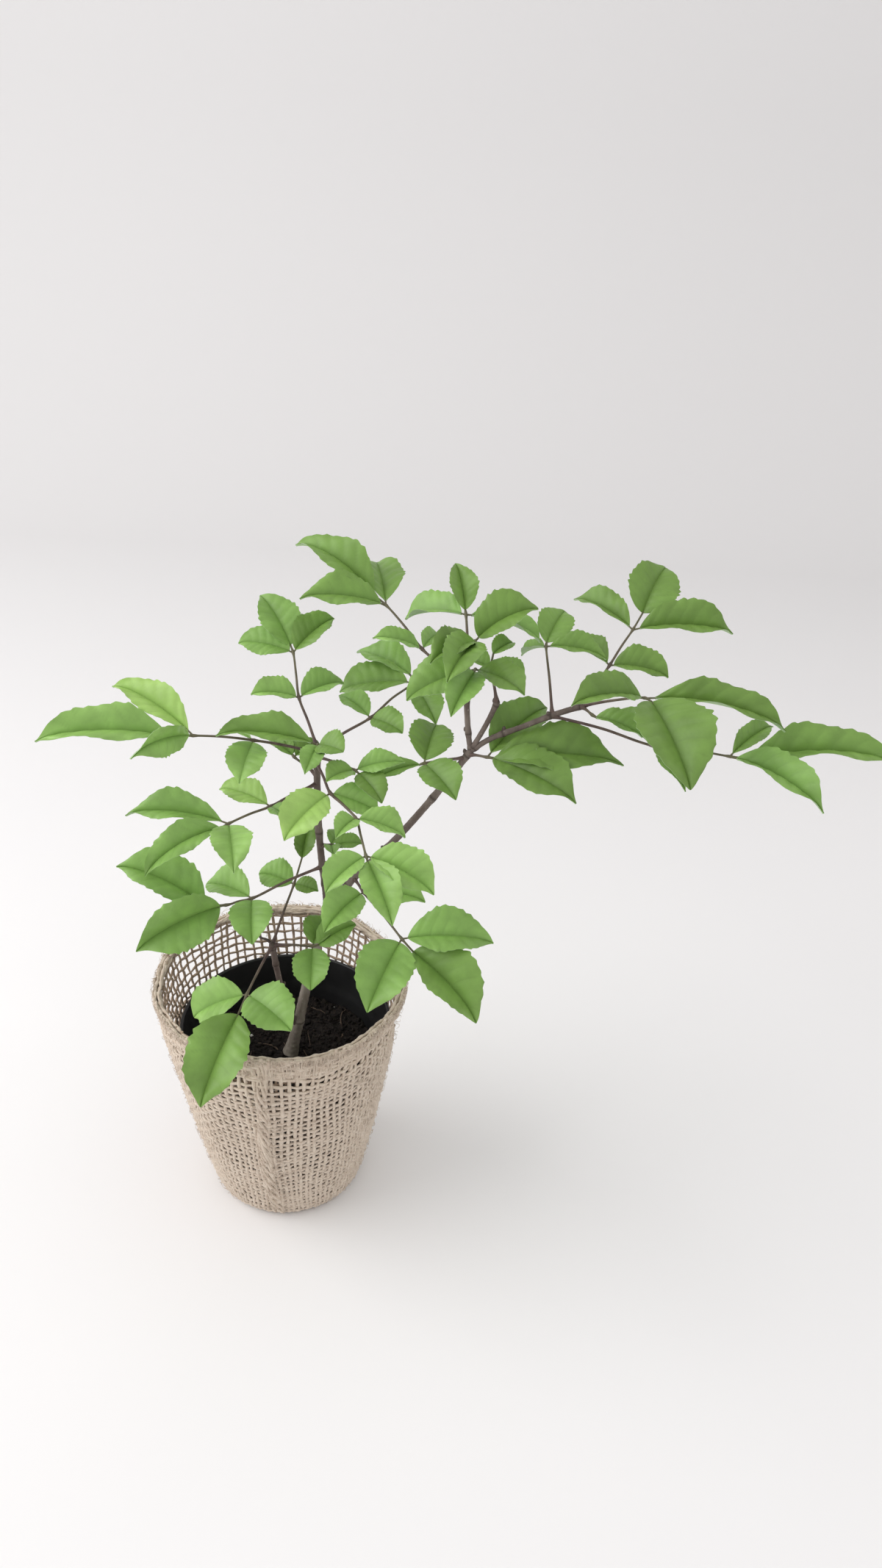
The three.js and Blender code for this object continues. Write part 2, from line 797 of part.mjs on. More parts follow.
function sleeveGeometry() {
  const { footRadius, rimRadius, height, wall, floor, lean, tuck, tuckFrom, waveFrom } = SLEEVE;
  const lowRadius = footRadius + SLEEVE.footBulge;
  const radiusAt = (share) => lowRadius + (rimRadius - lowRadius) * share ** SLEEVE.belly;
  const levels = [0.04, 0.3, 0.6, tuckFrom / height, 0.92, 1];
  const profile = [
    [0, 0],
    [footRadius, 0],
    ...levels.map((share) => [radiusAt(share), height * share]),
    ...levels.slice(1).reverse().map((share) => [radiusAt(share) - wall, height * share]),
    [footRadius - SLEEVE.floorInset, floor],
    [0, floor],
  ];
  const geometry = turnedGeometry(profile, SLEEVE.segments);
  const position = geometry.attributes.position;
  for (let k = 0; k < position.count; k += 1) {
    const x = position.getX(k);
    const y = position.getY(k);
    const z = position.getZ(k);
    const radius = Math.hypot(x, y);
    if (radius < 1 || z <= floor) continue;
    const share = z / height;
    const { swell, rim } = sleeveShape(Math.atan2(y, x));
    const scale = (radius + swell * Math.min(1, share * SLEEVE.smoothFoot)) / radius;
    const mouth = THREE.MathUtils.smoothstep(z, tuckFrom, height);
    const drawnIn = y < 0 ? 1 - tuck * mouth : 1;
    const lifted = z + (rim * Math.max(0, share - waveFrom)) / (1 - waveFrom);
    position.setXYZ(k, x * scale - lean * share, y * scale * drawnIn, lifted);
  }
  return geometry;
}

// ---------------------------------------------------------------- assembly

const sapling = new THREE.Group();

function addPiece(name, geometry, colour, roughness) {
  const material = new THREE.MeshStandardMaterial({ color: colour, roughness, metalness: 0 });
  const mesh = new THREE.Mesh(geometry, material);
  mesh.name = name;
  sapling.add(mesh);
}

addPiece('burlap_sleeve', sleeveGeometry(), COLOURS.jute, 0.95);
addPiece('nursery_pot', potGeometry(), COLOURS.plastic, 0.5);
addPiece('root_ball', soilGeometry(), COLOURS.soil, 1);

// Each limb is cut clear of the limbs that it grows from.
const grownFrom = {
  trunk: [],
  leader: ['trunk'],
  right_bough: ['trunk', 'leader'],
  right_upright: ['right_bough'],
  right_middle: ['right_bough', 'right_upright'],
  right_outer: ['right_bough', 'right_upright', 'right_middle'],
  low_shoot: ['trunk'],
};

for (const [name, limb] of Object.entries(LIMBS)) {
  let solid = solidFrom(limbGeometry(limb));
  for (const parent of grownFrom[name]) solid = solid.subtract(solidFrom(limbGeometry(LIMBS[parent], GAP)));
  const colour = name === 'trunk' ? COLOURS.bark : COLOURS.twig;
  addPiece(name, geometryFrom(largestBody(solid)), colour, 0.85);
}

Object.entries(FOLIAGE).forEach(([name, mass], place) => {
  addPiece(name, geometryFrom(foliageSolid(mass, place + 1)), COLOURS.leaf, 0.55);
});

export default sapling;
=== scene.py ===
"""A young ash-type sapling in a nursery pot inside an open jute sleeve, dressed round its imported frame.

Lengths are millimetres until a mesh is built, which turns them into metres. +Z is up, +X is the side
that the long bough reaches to, and -Y is the side of the sleeve's gathered seam.
"""

import math

import bpy
import numpy as np
from mathutils import Matrix, Vector, noise


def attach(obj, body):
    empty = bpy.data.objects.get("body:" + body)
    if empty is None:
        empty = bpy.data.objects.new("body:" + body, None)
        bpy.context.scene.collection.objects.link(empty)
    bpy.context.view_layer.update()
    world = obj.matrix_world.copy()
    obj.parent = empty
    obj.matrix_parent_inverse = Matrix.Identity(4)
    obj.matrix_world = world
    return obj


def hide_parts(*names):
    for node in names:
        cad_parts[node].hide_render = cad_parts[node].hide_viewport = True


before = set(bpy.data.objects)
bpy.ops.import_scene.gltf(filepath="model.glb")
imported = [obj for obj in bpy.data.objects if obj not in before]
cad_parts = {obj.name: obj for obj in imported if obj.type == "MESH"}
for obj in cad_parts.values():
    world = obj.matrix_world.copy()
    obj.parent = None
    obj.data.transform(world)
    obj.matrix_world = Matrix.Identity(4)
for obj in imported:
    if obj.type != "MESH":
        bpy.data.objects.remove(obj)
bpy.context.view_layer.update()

MM = 0.001

# ---------------------------------------------------------------- driving dimensions

SLEEVE = {
    "foot_radius": 35, "rim_radius": 58.8, "height": 120.5, "wall": 1.4, "rim_wave": 2.5,
    "seam_ridge": 1.4, "seam_width": 0.16, "ripple": 0.7, "lean": 2.5, "tuck": 0.13, "tuck_from": 101,
    "slack": 2, "foot_round": 5, "foot_in": 3.2, "fibres": 2600,
}
POT = {
    "base": 1.8, "foot_radius": 33, "rim_radius": 50, "height": 96, "wall": 1.0, "lip": 1.2,
    "lip_drop": 3, "collar": 16, "collar_step": 0.5, "middle": 0.6, "ribs": 20, "rib": 0.22,
}
SOIL = {"top": 75, "gap": 0.4, "edge": 5, "crumbs": 3000, "perlite": 0.996, "roots": 26}

LEAFLET = {
    "thickness": 0.34, "fold": 34, "curl": 34, "droop": 14, "droop_from": 0.75, "bend": 18, "twist": 5,
    "widest": 0.9, "slender": 1.3, "fullness": 0.8, "narrowest": 0.3,
    "tip_drawn_in": 0.35, "tip_from": 0.72, "tip_to": 0.98, "steps": 60, "columns": 8,
    "teeth": 11, "tooth": 0.08, "tooth_crest": 0.72, "veins": 7, "puff": 0.42, "wave": 0.035,
    "stem": 0.06, "stem_radius": 0.42,
}
STALK = {"foot_radius": 0.72, "end_radius": 0.46, "sides": 8, "arch": 5, "step": 1.1, "knee": 0.3375}
LEAN = np.array([0.1, -0.45, 1.0]) / np.linalg.norm([0.1, -0.45, 1.0])

# ---------------------------------------------------------------- wood

# Each limb runs through a few points; radii are at its foot and at its tip.
LIMBS = {
    "trunk": {
        "points": [(2, 0, 75.3), (5.5, 2, 92), (9.5, 5, 113), (14.5, 8, 136), (19.5, 10, 159)],
        "radii": (2.8, 2.1), "flare": 1.4, "joints": (0.28, 0.55, 0.8, 0.985),
    },
    "leader": {
        "points": [(19.5, 10, 159), (18.5, 10.5, 171), (16.5, 11.5, 189), (15, 13, 212), (14.5, 15, 243)],
        "radii": (1.7, 1.5), "joints": (0.04, 0.27, 0.4, 0.62, 0.8, 0.95),
    },
    "right_bough": {
        "points": [(19.5, 10, 159), (32, 11, 176), (49, 13, 195), (69.5, 17, 222), (83, 20, 242)],
        "radii": (1.8, 1.5), "joints": (0.03, 0.2, 0.46, 0.72, 0.97),
    },
    "right_upright": {
        "points": [(83, 20, 242), (81.5, 21, 250), (79.5, 22, 271), (79, 24, 290)],
        "radii": (1.2, 1.3), "joints": (0.05, 0.34, 0.6, 0.97),
    },
    "right_middle": {
        "points": [(83, 20, 242), (89, 19, 256), (93, 19, 267)],
        "radii": (1.1, 1.2), "joints": (0.08, 0.95),
    },
    "right_outer": {
        "points": [(83, 20, 242), (91, 19, 249), (105, 19, 256), (118, 20, 262), (131, 21, 267)],
        "radii": (1.2, 1.3), "joints": (0.06, 0.36, 0.73, 0.97),
    },
    "low_shoot": {
        "points": [(5.5, 2, 90), (-0.5, -4, 117), (-2.5, -8, 135), (-3.5, -12, 152)],
        "radii": (1.2, 1.5), "joints": (0.03, 0.42, 0.74, 0.96),
    },
}

# ---------------------------------------------------------------- foliage

# One compound leaf leaves its limb at a place along it, 0 to 1, with a heading in degrees: turn
# from +X towards +Y, and rise above the level. Its pairs of leaflets follow, and its end leaflet.
#   reach: stalk to this pair          sweep, bend: what the stalk turns and rises before it
#   size: length of the leaflets       uneven: how much longer the left one is, as a share
#   spread: their angle to the stalk   skew: turn of both about the joint
#   lift, bank: their rise, and how much more the left one has than the right
#   bare: the hand, 1 left or -1 right, that has no leaflet
# Its breadth is the full width of a leaflet over its length. A pair or an end leaflet may have a
# breadth, fold, curl or roll of its own; two values are the left one's and the right one's.
PAIR_RULE = {
    "sweep": 0, "bend": 0, "uneven": 0, "spread": 66, "skew": 0, "lift": 0, "bank": 0, "bare": 0,
}


def mass(limb, at, turn, rise, breadth, tint, *leaflets):
    """One compound leaf; tint is an index into LEAF_TINTS, and the last of its leaflets is its end."""
    *pairs, last = leaflets
    return {
        "limb": limb, "at": at, "turn": turn, "rise": rise, "breadth": breadth, "tint": tint,
        "pairs": pairs, "end": last,
    }


def pair(reach, size, **own):
    return {**PAIR_RULE, "reach": reach, "size": size, **own}


def end(gap, size, **own):
    """The end leaflet, which stands a gap past the last pair, turned by its hook."""
    return {"hook": 0, "rise": -10, "gap": gap, "size": size, **own}


FOLIAGE = {
    "foliage_low_front": mass("low_shoot", 1, -112, -30, 0.66, 2,
        pair(26, 31, spread=70, lift=-17, bank=13, breadth=[0.78, 0.74], fold=[20, 26]),
        end(10, 45, hook=5, rise=-32, fold=26),
    ),
    "foliage_low_right": mass("low_shoot", 1, -5, 3, 0.82, 1,
        pair(19, 20, uneven=-0.1, spread=80, lift=-5, bank=25, fold=22),
        end(3, 20, hook=30, rise=20),
    ),
    "foliage_low_back": mass("low_shoot", 1, 70, 40, 0.6, 1,
        pair(30, 16, uneven=0.2, spread=90, breadth=[0.85, 0.74], fold=20),
        end(13, 20, hook=5, rise=50),
    ),
    "foliage_low_left": mass("leader", 0.27, -150, -15, 0.6, 2,
        pair(
            36, 27, uneven=-0.05, spread=65, skew=5, lift=-10, bank=-5, breadth=[0.76, 0.66],
            fold=[22, 30],
        ),
        pair(12, 46, spread=20, lift=-8, sweep=-10, bend=5, bare=-1, roll=-40),
        end(10, 45, hook=-30, rise=17),
    ),
    "foliage_leader_mid": mass("leader", 0.4, 0, 5, 0.7, 1,
        pair(5, 12, uneven=0.1, spread=76, lift=4, bank=-4, fold=24),
        end(2, 13, rise=8, fold=24),
    ),
    "foliage_left_upper": mass("leader", 0.96, -165, 15, 0.4, 3,
        pair(29, 25, spread=62, skew=5, lift=-15, bank=-5, breadth=[0.68, 0.32], fold=[16, 34]),
        pair(26, 42, uneven=-0.1, spread=45, lift=12, bank=-2, bend=-8, roll=[-64, 0]),
        end(10, 55, rise=0),
    ),
    "foliage_left_lower": mass("leader", 0.78, -135, -7, 0.42, 3,
        pair(26, 23, uneven=-0.25, spread=80, skew=5, breadth=[0.62, 0.5], fold=24),
        pair(
            22, 40, uneven=-0.2, spread=57, skew=4, lift=-5, bank=-2, bend=4, breadth=[0.58, 0.38],
            fold=[22, 38],
        ),
        end(4, 40, hook=-10, rise=-20, curl=56),
    ),
    "foliage_left_inner": mass("leader", 0.83, 150, 20, 0.7, 1,
        pair(14, 15, spread=50, skew=-55, lift=8, bank=3),
        end(2, 15, hook=-55, rise=10),
    ),
    "foliage_leader_top": mass("leader", 1, 120, 35, 0.68, 2,
        pair(25, 23, uneven=-0.05, spread=80, lift=7, bank=2),
        pair(23, 27, spread=65, lift=16, bank=-11, sweep=-15, fold=[20, 36]),
        end(4, 29, hook=28, rise=38, fold=22),
    ),
    "foliage_leader_tip": mass("leader", 0.985, -80, 35, 0.48, 1,
        pair(12, 30, uneven=-0.5, spread=70, skew=-25, lift=5, breadth=[1, 0.4], fold=[20, 38]),
        end(2, 18, hook=-20, rise=-15, breadth=0.62, fold=22),
    ),
    "foliage_centre_back": mass("leader", 0.97, 45, 10, 0.6, 1,
        pair(32, 20, uneven=0.05, spread=85, skew=8, lift=4, bank=8, fold=24, breadth=[0.6, 0.8]),
        pair(32, 33, uneven=0.15, spread=114, lift=-18, bank=5, sweep=10, fold=22),
        end(7, 32, hook=95, rise=6, fold=28),
    ),
    "foliage_centre_front": mass("leader", 0.9, -70, -5, 0.66, 3,
        pair(25, 27, uneven=-0.12, spread=58, lift=-20, bank=2, fold=24),
        pair(22, 20, uneven=0.15, spread=58, lift=-10, bank=-10, sweep=15),
        pair(24, 28, uneven=0.15, spread=56, lift=-17, sweep=-20, bend=-5),
        end(3, 30, hook=10, rise=-27, breadth=0.6),
    ),
    "foliage_centre_right": mass("leader", 0.94, -40, 4, 0.74, 1,
        pair(24, 20, uneven=0.15, spread=65, skew=-25, lift=9, bank=6, breadth=[0.5, 0.74], fold=24),
        end(3, 19, hook=-10, rise=-18, fold=22),
    ),
    "foliage_front_right": mass("right_bough", 0.2, -65, 0, 0.68, 2,
        pair(13, 29, spread=58, lift=-7, bank=7),
        pair(
            34, 40, uneven=0.04, spread=57, lift=-12, bank=12, sweep=10, bend=-10,
            breadth=[0.58, 0.68], fold=26,
        ),
        end(8, 42, hook=20, rise=-28),
    ),
    "foliage_fork_left": mass("right_bough", 0.96, -155, 0, 0.4, 1,
        pair(20, 27, spread=112, skew=-13, lift=2, bank=-13, breadth=[0.72, 0.76], fold=[26, 20]),
        end(2, 23, hook=-8, rise=-18),
    ),
    "foliage_fork_right": mass("right_bough", 0.98, -30, 8, 0.46, 0,
        pair(10, 46, uneven=-0.05, spread=43, skew=37, lift=5, bank=10, breadth=0.54, fold=[30, 22]),
        end(4, 57, hook=28, rise=3, fold=26),
    ),
    "foliage_crown_back": mass("right_upright", 0.6, 140, 20, 0.5, 2,
        pair(29, 22, uneven=0.08, spread=65, skew=-8, lift=10, bank=8, fold=26),
        pair(28, 42, uneven=-0.05, spread=48, skew=12, lift=8, sweep=-5, bend=5, fold=[28, 22]),
        end(8, 47, hook=20, rise=19, curl=56, fold=34, breadth=0.44),
    ),
    "foliage_crown_top": mass("right_upright", 1, 100, 50, 0.64, 1,
        pair(15, 36, uneven=-0.08, spread=68, skew=-18, lift=-18, bank=3, breadth=[0.58, 0.42]),
        end(2, 22, hook=10, rise=45),
    ),
    "foliage_crown_middle": mass("right_upright", 0.96, -70, 45, 0.6, 1,
        pair(12, 30, spread=68, skew=8, lift=13, bank=15, breadth=[0.72, 0.56], curl=[50, 34]),
        end(4, 32, hook=-42, rise=-8),
    ),
    "foliage_crown_front": mass("right_upright", 0.6, -80, 45, 0.64, 1,
        pair(24, 30, uneven=-0.1, spread=64, skew=-22, lift=-14, bank=6, fold=22),
        end(6, 27, hook=-30, rise=-18),
    ),
    "foliage_middle": mass("right_middle", 1, 120, 60, 0.8, 1,
        pair(15, 17, spread=70, skew=-40, lift=-8, bank=9),
        end(8, 13, hook=-75, rise=8),
    ),
    "foliage_right_up": mass("right_outer", 0.74, 100, 45, 0.5, 1,
        pair(32, 24, uneven=-0.2, spread=68, skew=-40, lift=-20, bank=-14),
        end(2, 21, hook=-35, rise=25, breadth=0.8, fold=22),
    ),
    "foliage_right_back": mass("right_outer", 1, 60, 20, 0.5, 0,
        pair(27, 28, spread=72, bank=5, breadth=[0.56, 0.7]),
        pair(25, 41, uneven=-0.12, spread=72, skew=8, lift=6, bank=2, fold=40),
        end(11, 29, rise=35, breadth=0.86, fold=20),
    ),
    "foliage_right_front": mass("right_outer", 0.99, -35, 22, 0.5, 0,
        pair(
            32, 51, uneven=0.2, spread=71, skew=-44, bank=-8, breadth=[0.32, 0.5],
            fold=[42, 34],
        ),
        end(4, 47, hook=-38, rise=-24, breadth=0.74, fold=28),
    ),
    "foliage_right_under": mass("right_outer", 0.98, -65, 0, 0.6, 1,
        pair(10, 0),
        end(2, 22, hook=40, rise=-11),
    ),
    "foliage_right_tip": mass("right_outer", 0.73, -15, -10, 0.44, 1,
        pair(46, 30, uneven=0.05, spread=93, skew=47, lift=-6, bank=12),
        pair(
            33, 39, uneven=-0.23, spread=42, skew=8, lift=5, bank=9, sweep=5, bend=7,
            breadth=[0.4, 0.44], fold=[30, 40],
        ),
        end(8, 62, hook=5, rise=4, breadth=0.37, fold=38),
    ),
}

# The group of leaves that each limb's masses are joined into.
GROUP_OF = {
    "low_shoot": "low", "right_bough": "low", "leader": "left",
    "right_upright": "right", "right_middle": "right", "right_outer": "right",
}

SCATTER = {"turn": 2, "rise": 2, "roll": 5, "length": 0.03}

# ---------------------------------------------------------------- chance, headings and curves


def chance(seed, draw):
    """Repeatable chance from -1 to 1."""
    wave = math.sin(seed * 12.9898 + draw * 78.233) * 43758.5453
    return (wave - math.floor(wave)) * 2 - 1


def share(seed, draw):
    """Repeatable chance from 0 to 1."""
    return chance(seed, draw) / 2 + 0.5


def heading(turn, rise):
    a, b = np.radians(turn), np.radians(rise)
    return np.stack([np.cos(a) * np.cos(b), np.sin(a) * np.cos(b), np.sin(b) + 0 * a], -1)


def unit(vectors):
    return vectors / (np.linalg.norm(vectors, axis=-1, keepdims=True) + 1e-12)


def smooth(low, high, value):
    """0 up to low, 1 from high on, and an even slope between them."""
    t = np.clip((value - low) / (high - low), 0, 1)
    return t * t * (3 - 2 * t)


def hump(distance, width):
    """1 at no distance, falling away on both sides."""
    return np.exp(-(distance / width) ** 2)


def circle(count):
    """Angles round a full turn, the last one short of the first."""
    return np.arange(count) / count * 2 * math.pi


def around(radius, angle, z):
    return np.stack([radius * np.cos(angle), radius * np.sin(angle), z + 0 * radius * angle], -1)


class Curve:
    """A centripetal Catmull-Rom curve through a few points."""

    samples = np.arange(201)

    def __init__(self, points):
        self.points = np.array(points, float)
        self.sampled = np.array([self.at(t) for t in self.samples / self.samples[-1]])
        strides = np.linalg.norm(np.diff(self.sampled, axis=0), axis=1)
        self.lengths = np.concatenate([[0], np.cumsum(strides)])
        self.length = self.lengths[-1]

    def at(self, t):
        """The point at t, where every stretch between two points takes an equal share of 0 to 1."""
        p = self.points
        place = (len(p) - 1) * t
        k = min(int(place), len(p) - 2)
        w = place - k
        before = p[k - 1] if k > 0 else 2 * p[0] - p[1]
        after = p[k + 2] if k + 2 < len(p) else 2 * p[-1] - p[-2]
        a, b = p[k], p[k + 1]
        d0, d1, d2 = (max(np.linalg.norm(v) ** 0.5, 1e-4) for v in (a - before, b - a, after - b))
        out = ((a - before) / d0 - (b - before) / (d0 + d1) + (b - a) / d1) * d1
        into = ((b - a) / d1 - (after - a) / (d1 + d2) + (after - b) / d2) * d1
        c2 = -3 * a + 3 * b - 2 * out - into
        c3 = 2 * a - 2 * b + out + into
        return a + out * w + c2 * w * w + c3 * w ** 3

    def along(self, part):
        """The point at a share of the curve's length."""
        places = np.interp(np.asarray(part) * self.length, self.lengths, self.samples)
        return np.stack([np.interp(places, self.samples, axis) for axis in self.sampled.T], -1)

    def spread(self, step):
        """Points about a step apart from end to end."""
        return self.along(np.linspace(0, 1, max(2, round(self.length / step) + 1)))


# ---------------------------------------------------------------- joined meshes


class Pile:
    """The vertices and faces of one joined piece, in millimetres."""

    def __init__(self):
        self.points, self.faces, self.slots, self.marks = [], [], [], []
        self.count = 0

    def add(self, points, *blocks, slot=0, mark=0.0):
        """Adds blocks of faces over points; slot is their material, mark a value at each vertex."""
        points = np.asarray(points, float).reshape(-1, 3)
        for faces in blocks:
            self.faces.append(np.asarray(faces, int) + self.count)
            self.slots.append(np.broadcast_to(slot, len(faces)))
        self.points.append(points)
        self.marks.append(np.broadcast_to(mark, len(points)))
        self.count += len(points)

    def build(self, name, materials, sharp=None):
        mesh = bpy.data.meshes.new(name)
        points = np.concatenate(self.points) * MM
        loops = np.concatenate([f.ravel() for f in self.faces])
        sizes = np.concatenate([np.full(len(f), f.shape[1]) for f in self.faces])
        mesh.vertices.add(len(points))
        mesh.vertices.foreach_set("co", points.ravel())
        mesh.loops.add(len(loops))
        mesh.loops.foreach_set("vertex_index", loops)
        mesh.polygons.add(len(sizes))
        mesh.polygons.foreach_set("loop_start", np.concatenate([[0], np.cumsum(sizes)[:-1]]))
        mesh.polygons.foreach_set("material_index", np.concatenate(self.slots).astype(int))
        mark = mesh.attributes.new("mark", "FLOAT", "POINT")
        mark.data.foreach_set("value", np.concatenate(self.marks).astype(float))
        for material in materials:
            mesh.materials.append(material)
        mesh.update(calc_edges=True)
        mesh.validate()
        mesh.shade_smooth()
        if sharp:
            mesh.set_sharp_from_angle(angle=math.radians(sharp))
        piece = bpy.data.objects.new(name, mesh)
        bpy.context.scene.collection.objects.link(piece)
        return piece


def grid_faces(rows, columns, wrap=True):
    """Quads between rows of equally many points; wrap joins the last column to the first."""
    r = np.arange(rows - 1)[:, None]
    c = np.arange(columns if wrap else columns - 1)[None, :]
    near, far = r * columns, (r + 1) * columns
    following = (c + 1) % columns
    return np.stack([near + c, near + following, far + following, far + c], -1).reshape(-1, 4)


def shut_faces(rows, columns):
    """Quads that join the last row of such a grid to its first."""
    c = np.arange(columns)
    following, last = (c + 1) % columns, (rows - 1) * columns
    return np.stack([following, c, c + last, following + last], -1)


def cap_faces(rows, columns):
    """Triangles that close both ends of a tube at an added middle point of each."""
    c = np.arange(columns)
    following, last = (c + 1) % columns, (rows - 1) * columns
    foot = np.stack([following, c, np.full(columns, rows * columns)], -1)
    tip = np.stack([last + c, last + following, np.full(columns, rows * columns + 1)], -1)
    return np.concatenate([foot, tip])


def sheet_faces(rows, columns):
    """Quads over one grid, under a second one that lies beneath it, and round the rim of both."""
    over = grid_faces(rows, columns, wrap=False)
    beneath = rows * columns
    ring = np.concatenate([
        np.arange(columns), np.arange(1, rows) * columns + columns - 1,
        (rows - 1) * columns + np.arange(columns - 2, -1, -1), np.arange(rows - 2, 0, -1) * columns,
    ])
    following = np.roll(ring, -1)
    rim = np.stack([following, ring, ring + beneath, following + beneath], -1)
    return over, np.concatenate([over[:, ::-1] + beneath, rim])


def tube(pile, points, radii, sides=8, slot=0, mark=0.0, relief=None, flat=1.0, upward=None):
    """A round bar along points, its ends closed; relief(angle, row) is added to the radius."""
    points = np.asarray(points, float)
    rows = len(points)
    radii, mark = np.broadcast_to(radii, rows), np.broadcast_to(mark, rows)
    along = unit(np.gradient(points, axis=0))
    if upward is None:
        side = np.zeros_like(points)
        last = np.array([0.0, 0, 1]) if abs(along[0, 2]) < 0.8 else np.array([1.0, 0, 0])
        for k in range(rows):
            last = unit(last - along[k] * (last @ along[k]))
            side[k] = last
    else:
        side = unit(upward - along * (upward * along).sum(1, keepdims=True))
    other = np.cross(along, side)
    angles = circle(sides)
    swell = 0 if relief is None else relief(angles[None, :], np.arange(rows)[:, None])
    reach = radii[:, None] + swell
    ring = (
        points[:, None]
        + side[:, None] * (np.cos(angles) * reach * flat)[..., None]
        + other[:, None] * (np.sin(angles) * reach)[..., None]
    )
    ends = [points[0] - along[0] * radii[0] * 0.5, points[-1] + along[-1] * radii[-1] * 0.5]
    marks = np.concatenate([np.repeat(mark, sides), mark[[0, -1]]])
    vertices = np.concatenate([ring.reshape(-1, 3), ends])
    pile.add(vertices, grid_faces(rows, sides), cap_faces(rows, sides), slot=slot, mark=marks)


# ---------------------------------------------------------------- materials


class Shader:
    """A material's node tree with one Principled shader, and short ways to add nodes to it."""

    def __init__(self, name, roughness, specular=0.5):
        self.material = bpy.data.materials.new(name)
        self.material.use_nodes = True
        self.tree = self.material.node_tree
        self.shader = next(n for n in self.tree.nodes if n.type == "BSDF_PRINCIPLED")
        self.fill(self.shader, {"Roughness": roughness, "Specular IOR Level": specular})
        self.place = self.add("TexCoord").outputs["Object"]

    def fill(self, node, inputs):
        """Sets inputs by name or number: a socket is linked, a colour or a number is its value."""
        for key, given in inputs.items():
            socket = node.inputs[key]
            if isinstance(given, bpy.types.NodeSocket):
                self.tree.links.new(given, socket)
            else:
                socket.default_value = (*given, 1) if socket.type == "RGBA" else given

    def add(self, kind, inputs=None):
        node = self.tree.nodes.new("ShaderNode" + kind)
        self.fill(node, inputs or {})
        return node

    def noise(self, scale, detail=3.0, roughness=0.55, stretch=None):
        """Noise with a scale in cells for each metre, drawn out by stretch along each axis."""
        place = self.place
        if stretch:
            place = self.add("Mapping", {"Vector": place, "Scale": stretch}).outputs["Vector"]
        inputs = {"Vector": place, "Scale": scale, "Detail": detail, "Roughness": roughness}
        return self.add("TexNoise", inputs).outputs["Fac"]

    def cells(self, scale):
        return self.add("TexVoronoi", {"Vector": self.place, "Scale": scale}).outputs["Distance"]

    def mark(self):
        node = self.add("Attribute")
        node.attribute_name = "mark"
        return node.outputs["Fac"]

    def ramp(self, value, *stops):
        """A colour for each value, from stops of a position and a colour."""
        node = self.add("ValToRGB", {"Fac": value})
        ramp = node.color_ramp
        while len(ramp.elements) < len(stops):
            ramp.elements.new(0.5)
        for element, (position, colour) in zip(ramp.elements, stops):
            element.position = position
            element.color = (*colour, 1)
        return node.outputs["Color"]

    def mix(self, amount, first, second):
        """A colour from first to second; amount is a socket, and each colour a socket or a colour."""
        node = self.add("Mix")
        node.data_type = "RGBA"
        self.fill(node, {"Factor": amount, 6: first, 7: second})
        return node.outputs[2]

    def scaled(self, value, low, high):
        return self.add("MapRange", {"Value": value, "To Min": low, "To Max": high}).outputs["Result"]

    def colour(self, value):
        self.fill(self.shader, {"Base Color": value})

    def roughness(self, value):
        self.fill(self.shader, {"Roughness": value})

    def bump(self, *layers):
        """Bumps from (height, strength, distance in metres) layers, one on another."""
        beneath = {}
        for height, strength, distance in layers:
            inputs = {"Height": height, "Strength": strength, "Distance": distance}
            beneath = {"Normal": self.add("Bump", {**inputs, **beneath}).outputs["Normal"]}
        self.fill(self.shader, beneath)


LEAF_TINTS = [
    (0.162, 0.288, 0.056),
    (0.190, 0.338, 0.070),
    (0.228, 0.408, 0.094),
    (0.276, 0.476, 0.118),
    (0.350, 0.555, 0.140),
]
UNDERSIDE = (0.360, 0.500, 0.270)
BLACK, WHITE = (0, 0, 0), (1, 1, 1)


def tinted(colour, factor):
    return tuple(min(1.0, c * factor) for c in colour)


def leaf_material(name, tint, vein_factor, roughness):
    """A leaf's skin: mottled round its own tint, with veins of another tone where mark is high."""
    shader = Shader(name, roughness, 0.4)
    mottled = shader.ramp(shader.noise(90, 4), (0.3, tinted(tint, 0.84)), (0.7, tinted(tint, 1.14)))
    shader.colour(shader.mix(shader.scaled(shader.mark(), 0, 0.75), mottled, tinted(tint, vein_factor)))
    shader.roughness(shader.scaled(shader.noise(400), roughness - 0.08, roughness + 0.1))
    shader.bump((shader.cells(1600), 0.16, 0.0001), (shader.noise(500), 0.2, 0.0002))
    return shader.material


def leaf_materials():
    """One upper skin for each tint, then the pale underside."""
    upper = [leaf_material(f"leaf_upper_{k}", tint, 0.8, 0.42) for k, tint in enumerate(LEAF_TINTS)]
    return upper + [leaf_material("leaf_under", UNDERSIDE, 1.25, 0.6)]


def stalk_material():
    shader = Shader("leaf_stalk", 0.5, 0.4)
    dark = shader.ramp(shader.noise(260), (0.3, (0.070, 0.040, 0.040)), (0.7, (0.150, 0.100, 0.085)))
    green = shader.ramp(shader.noise(200), (0.3, (0.110, 0.140, 0.050)), (0.7, (0.170, 0.190, 0.075)))
    shader.colour(shader.mix(shader.mark(), dark, green))
    shader.bump((shader.noise(1500, stretch=(1, 1, 0.4)), 0.3, 0.0002))
    return shader.material


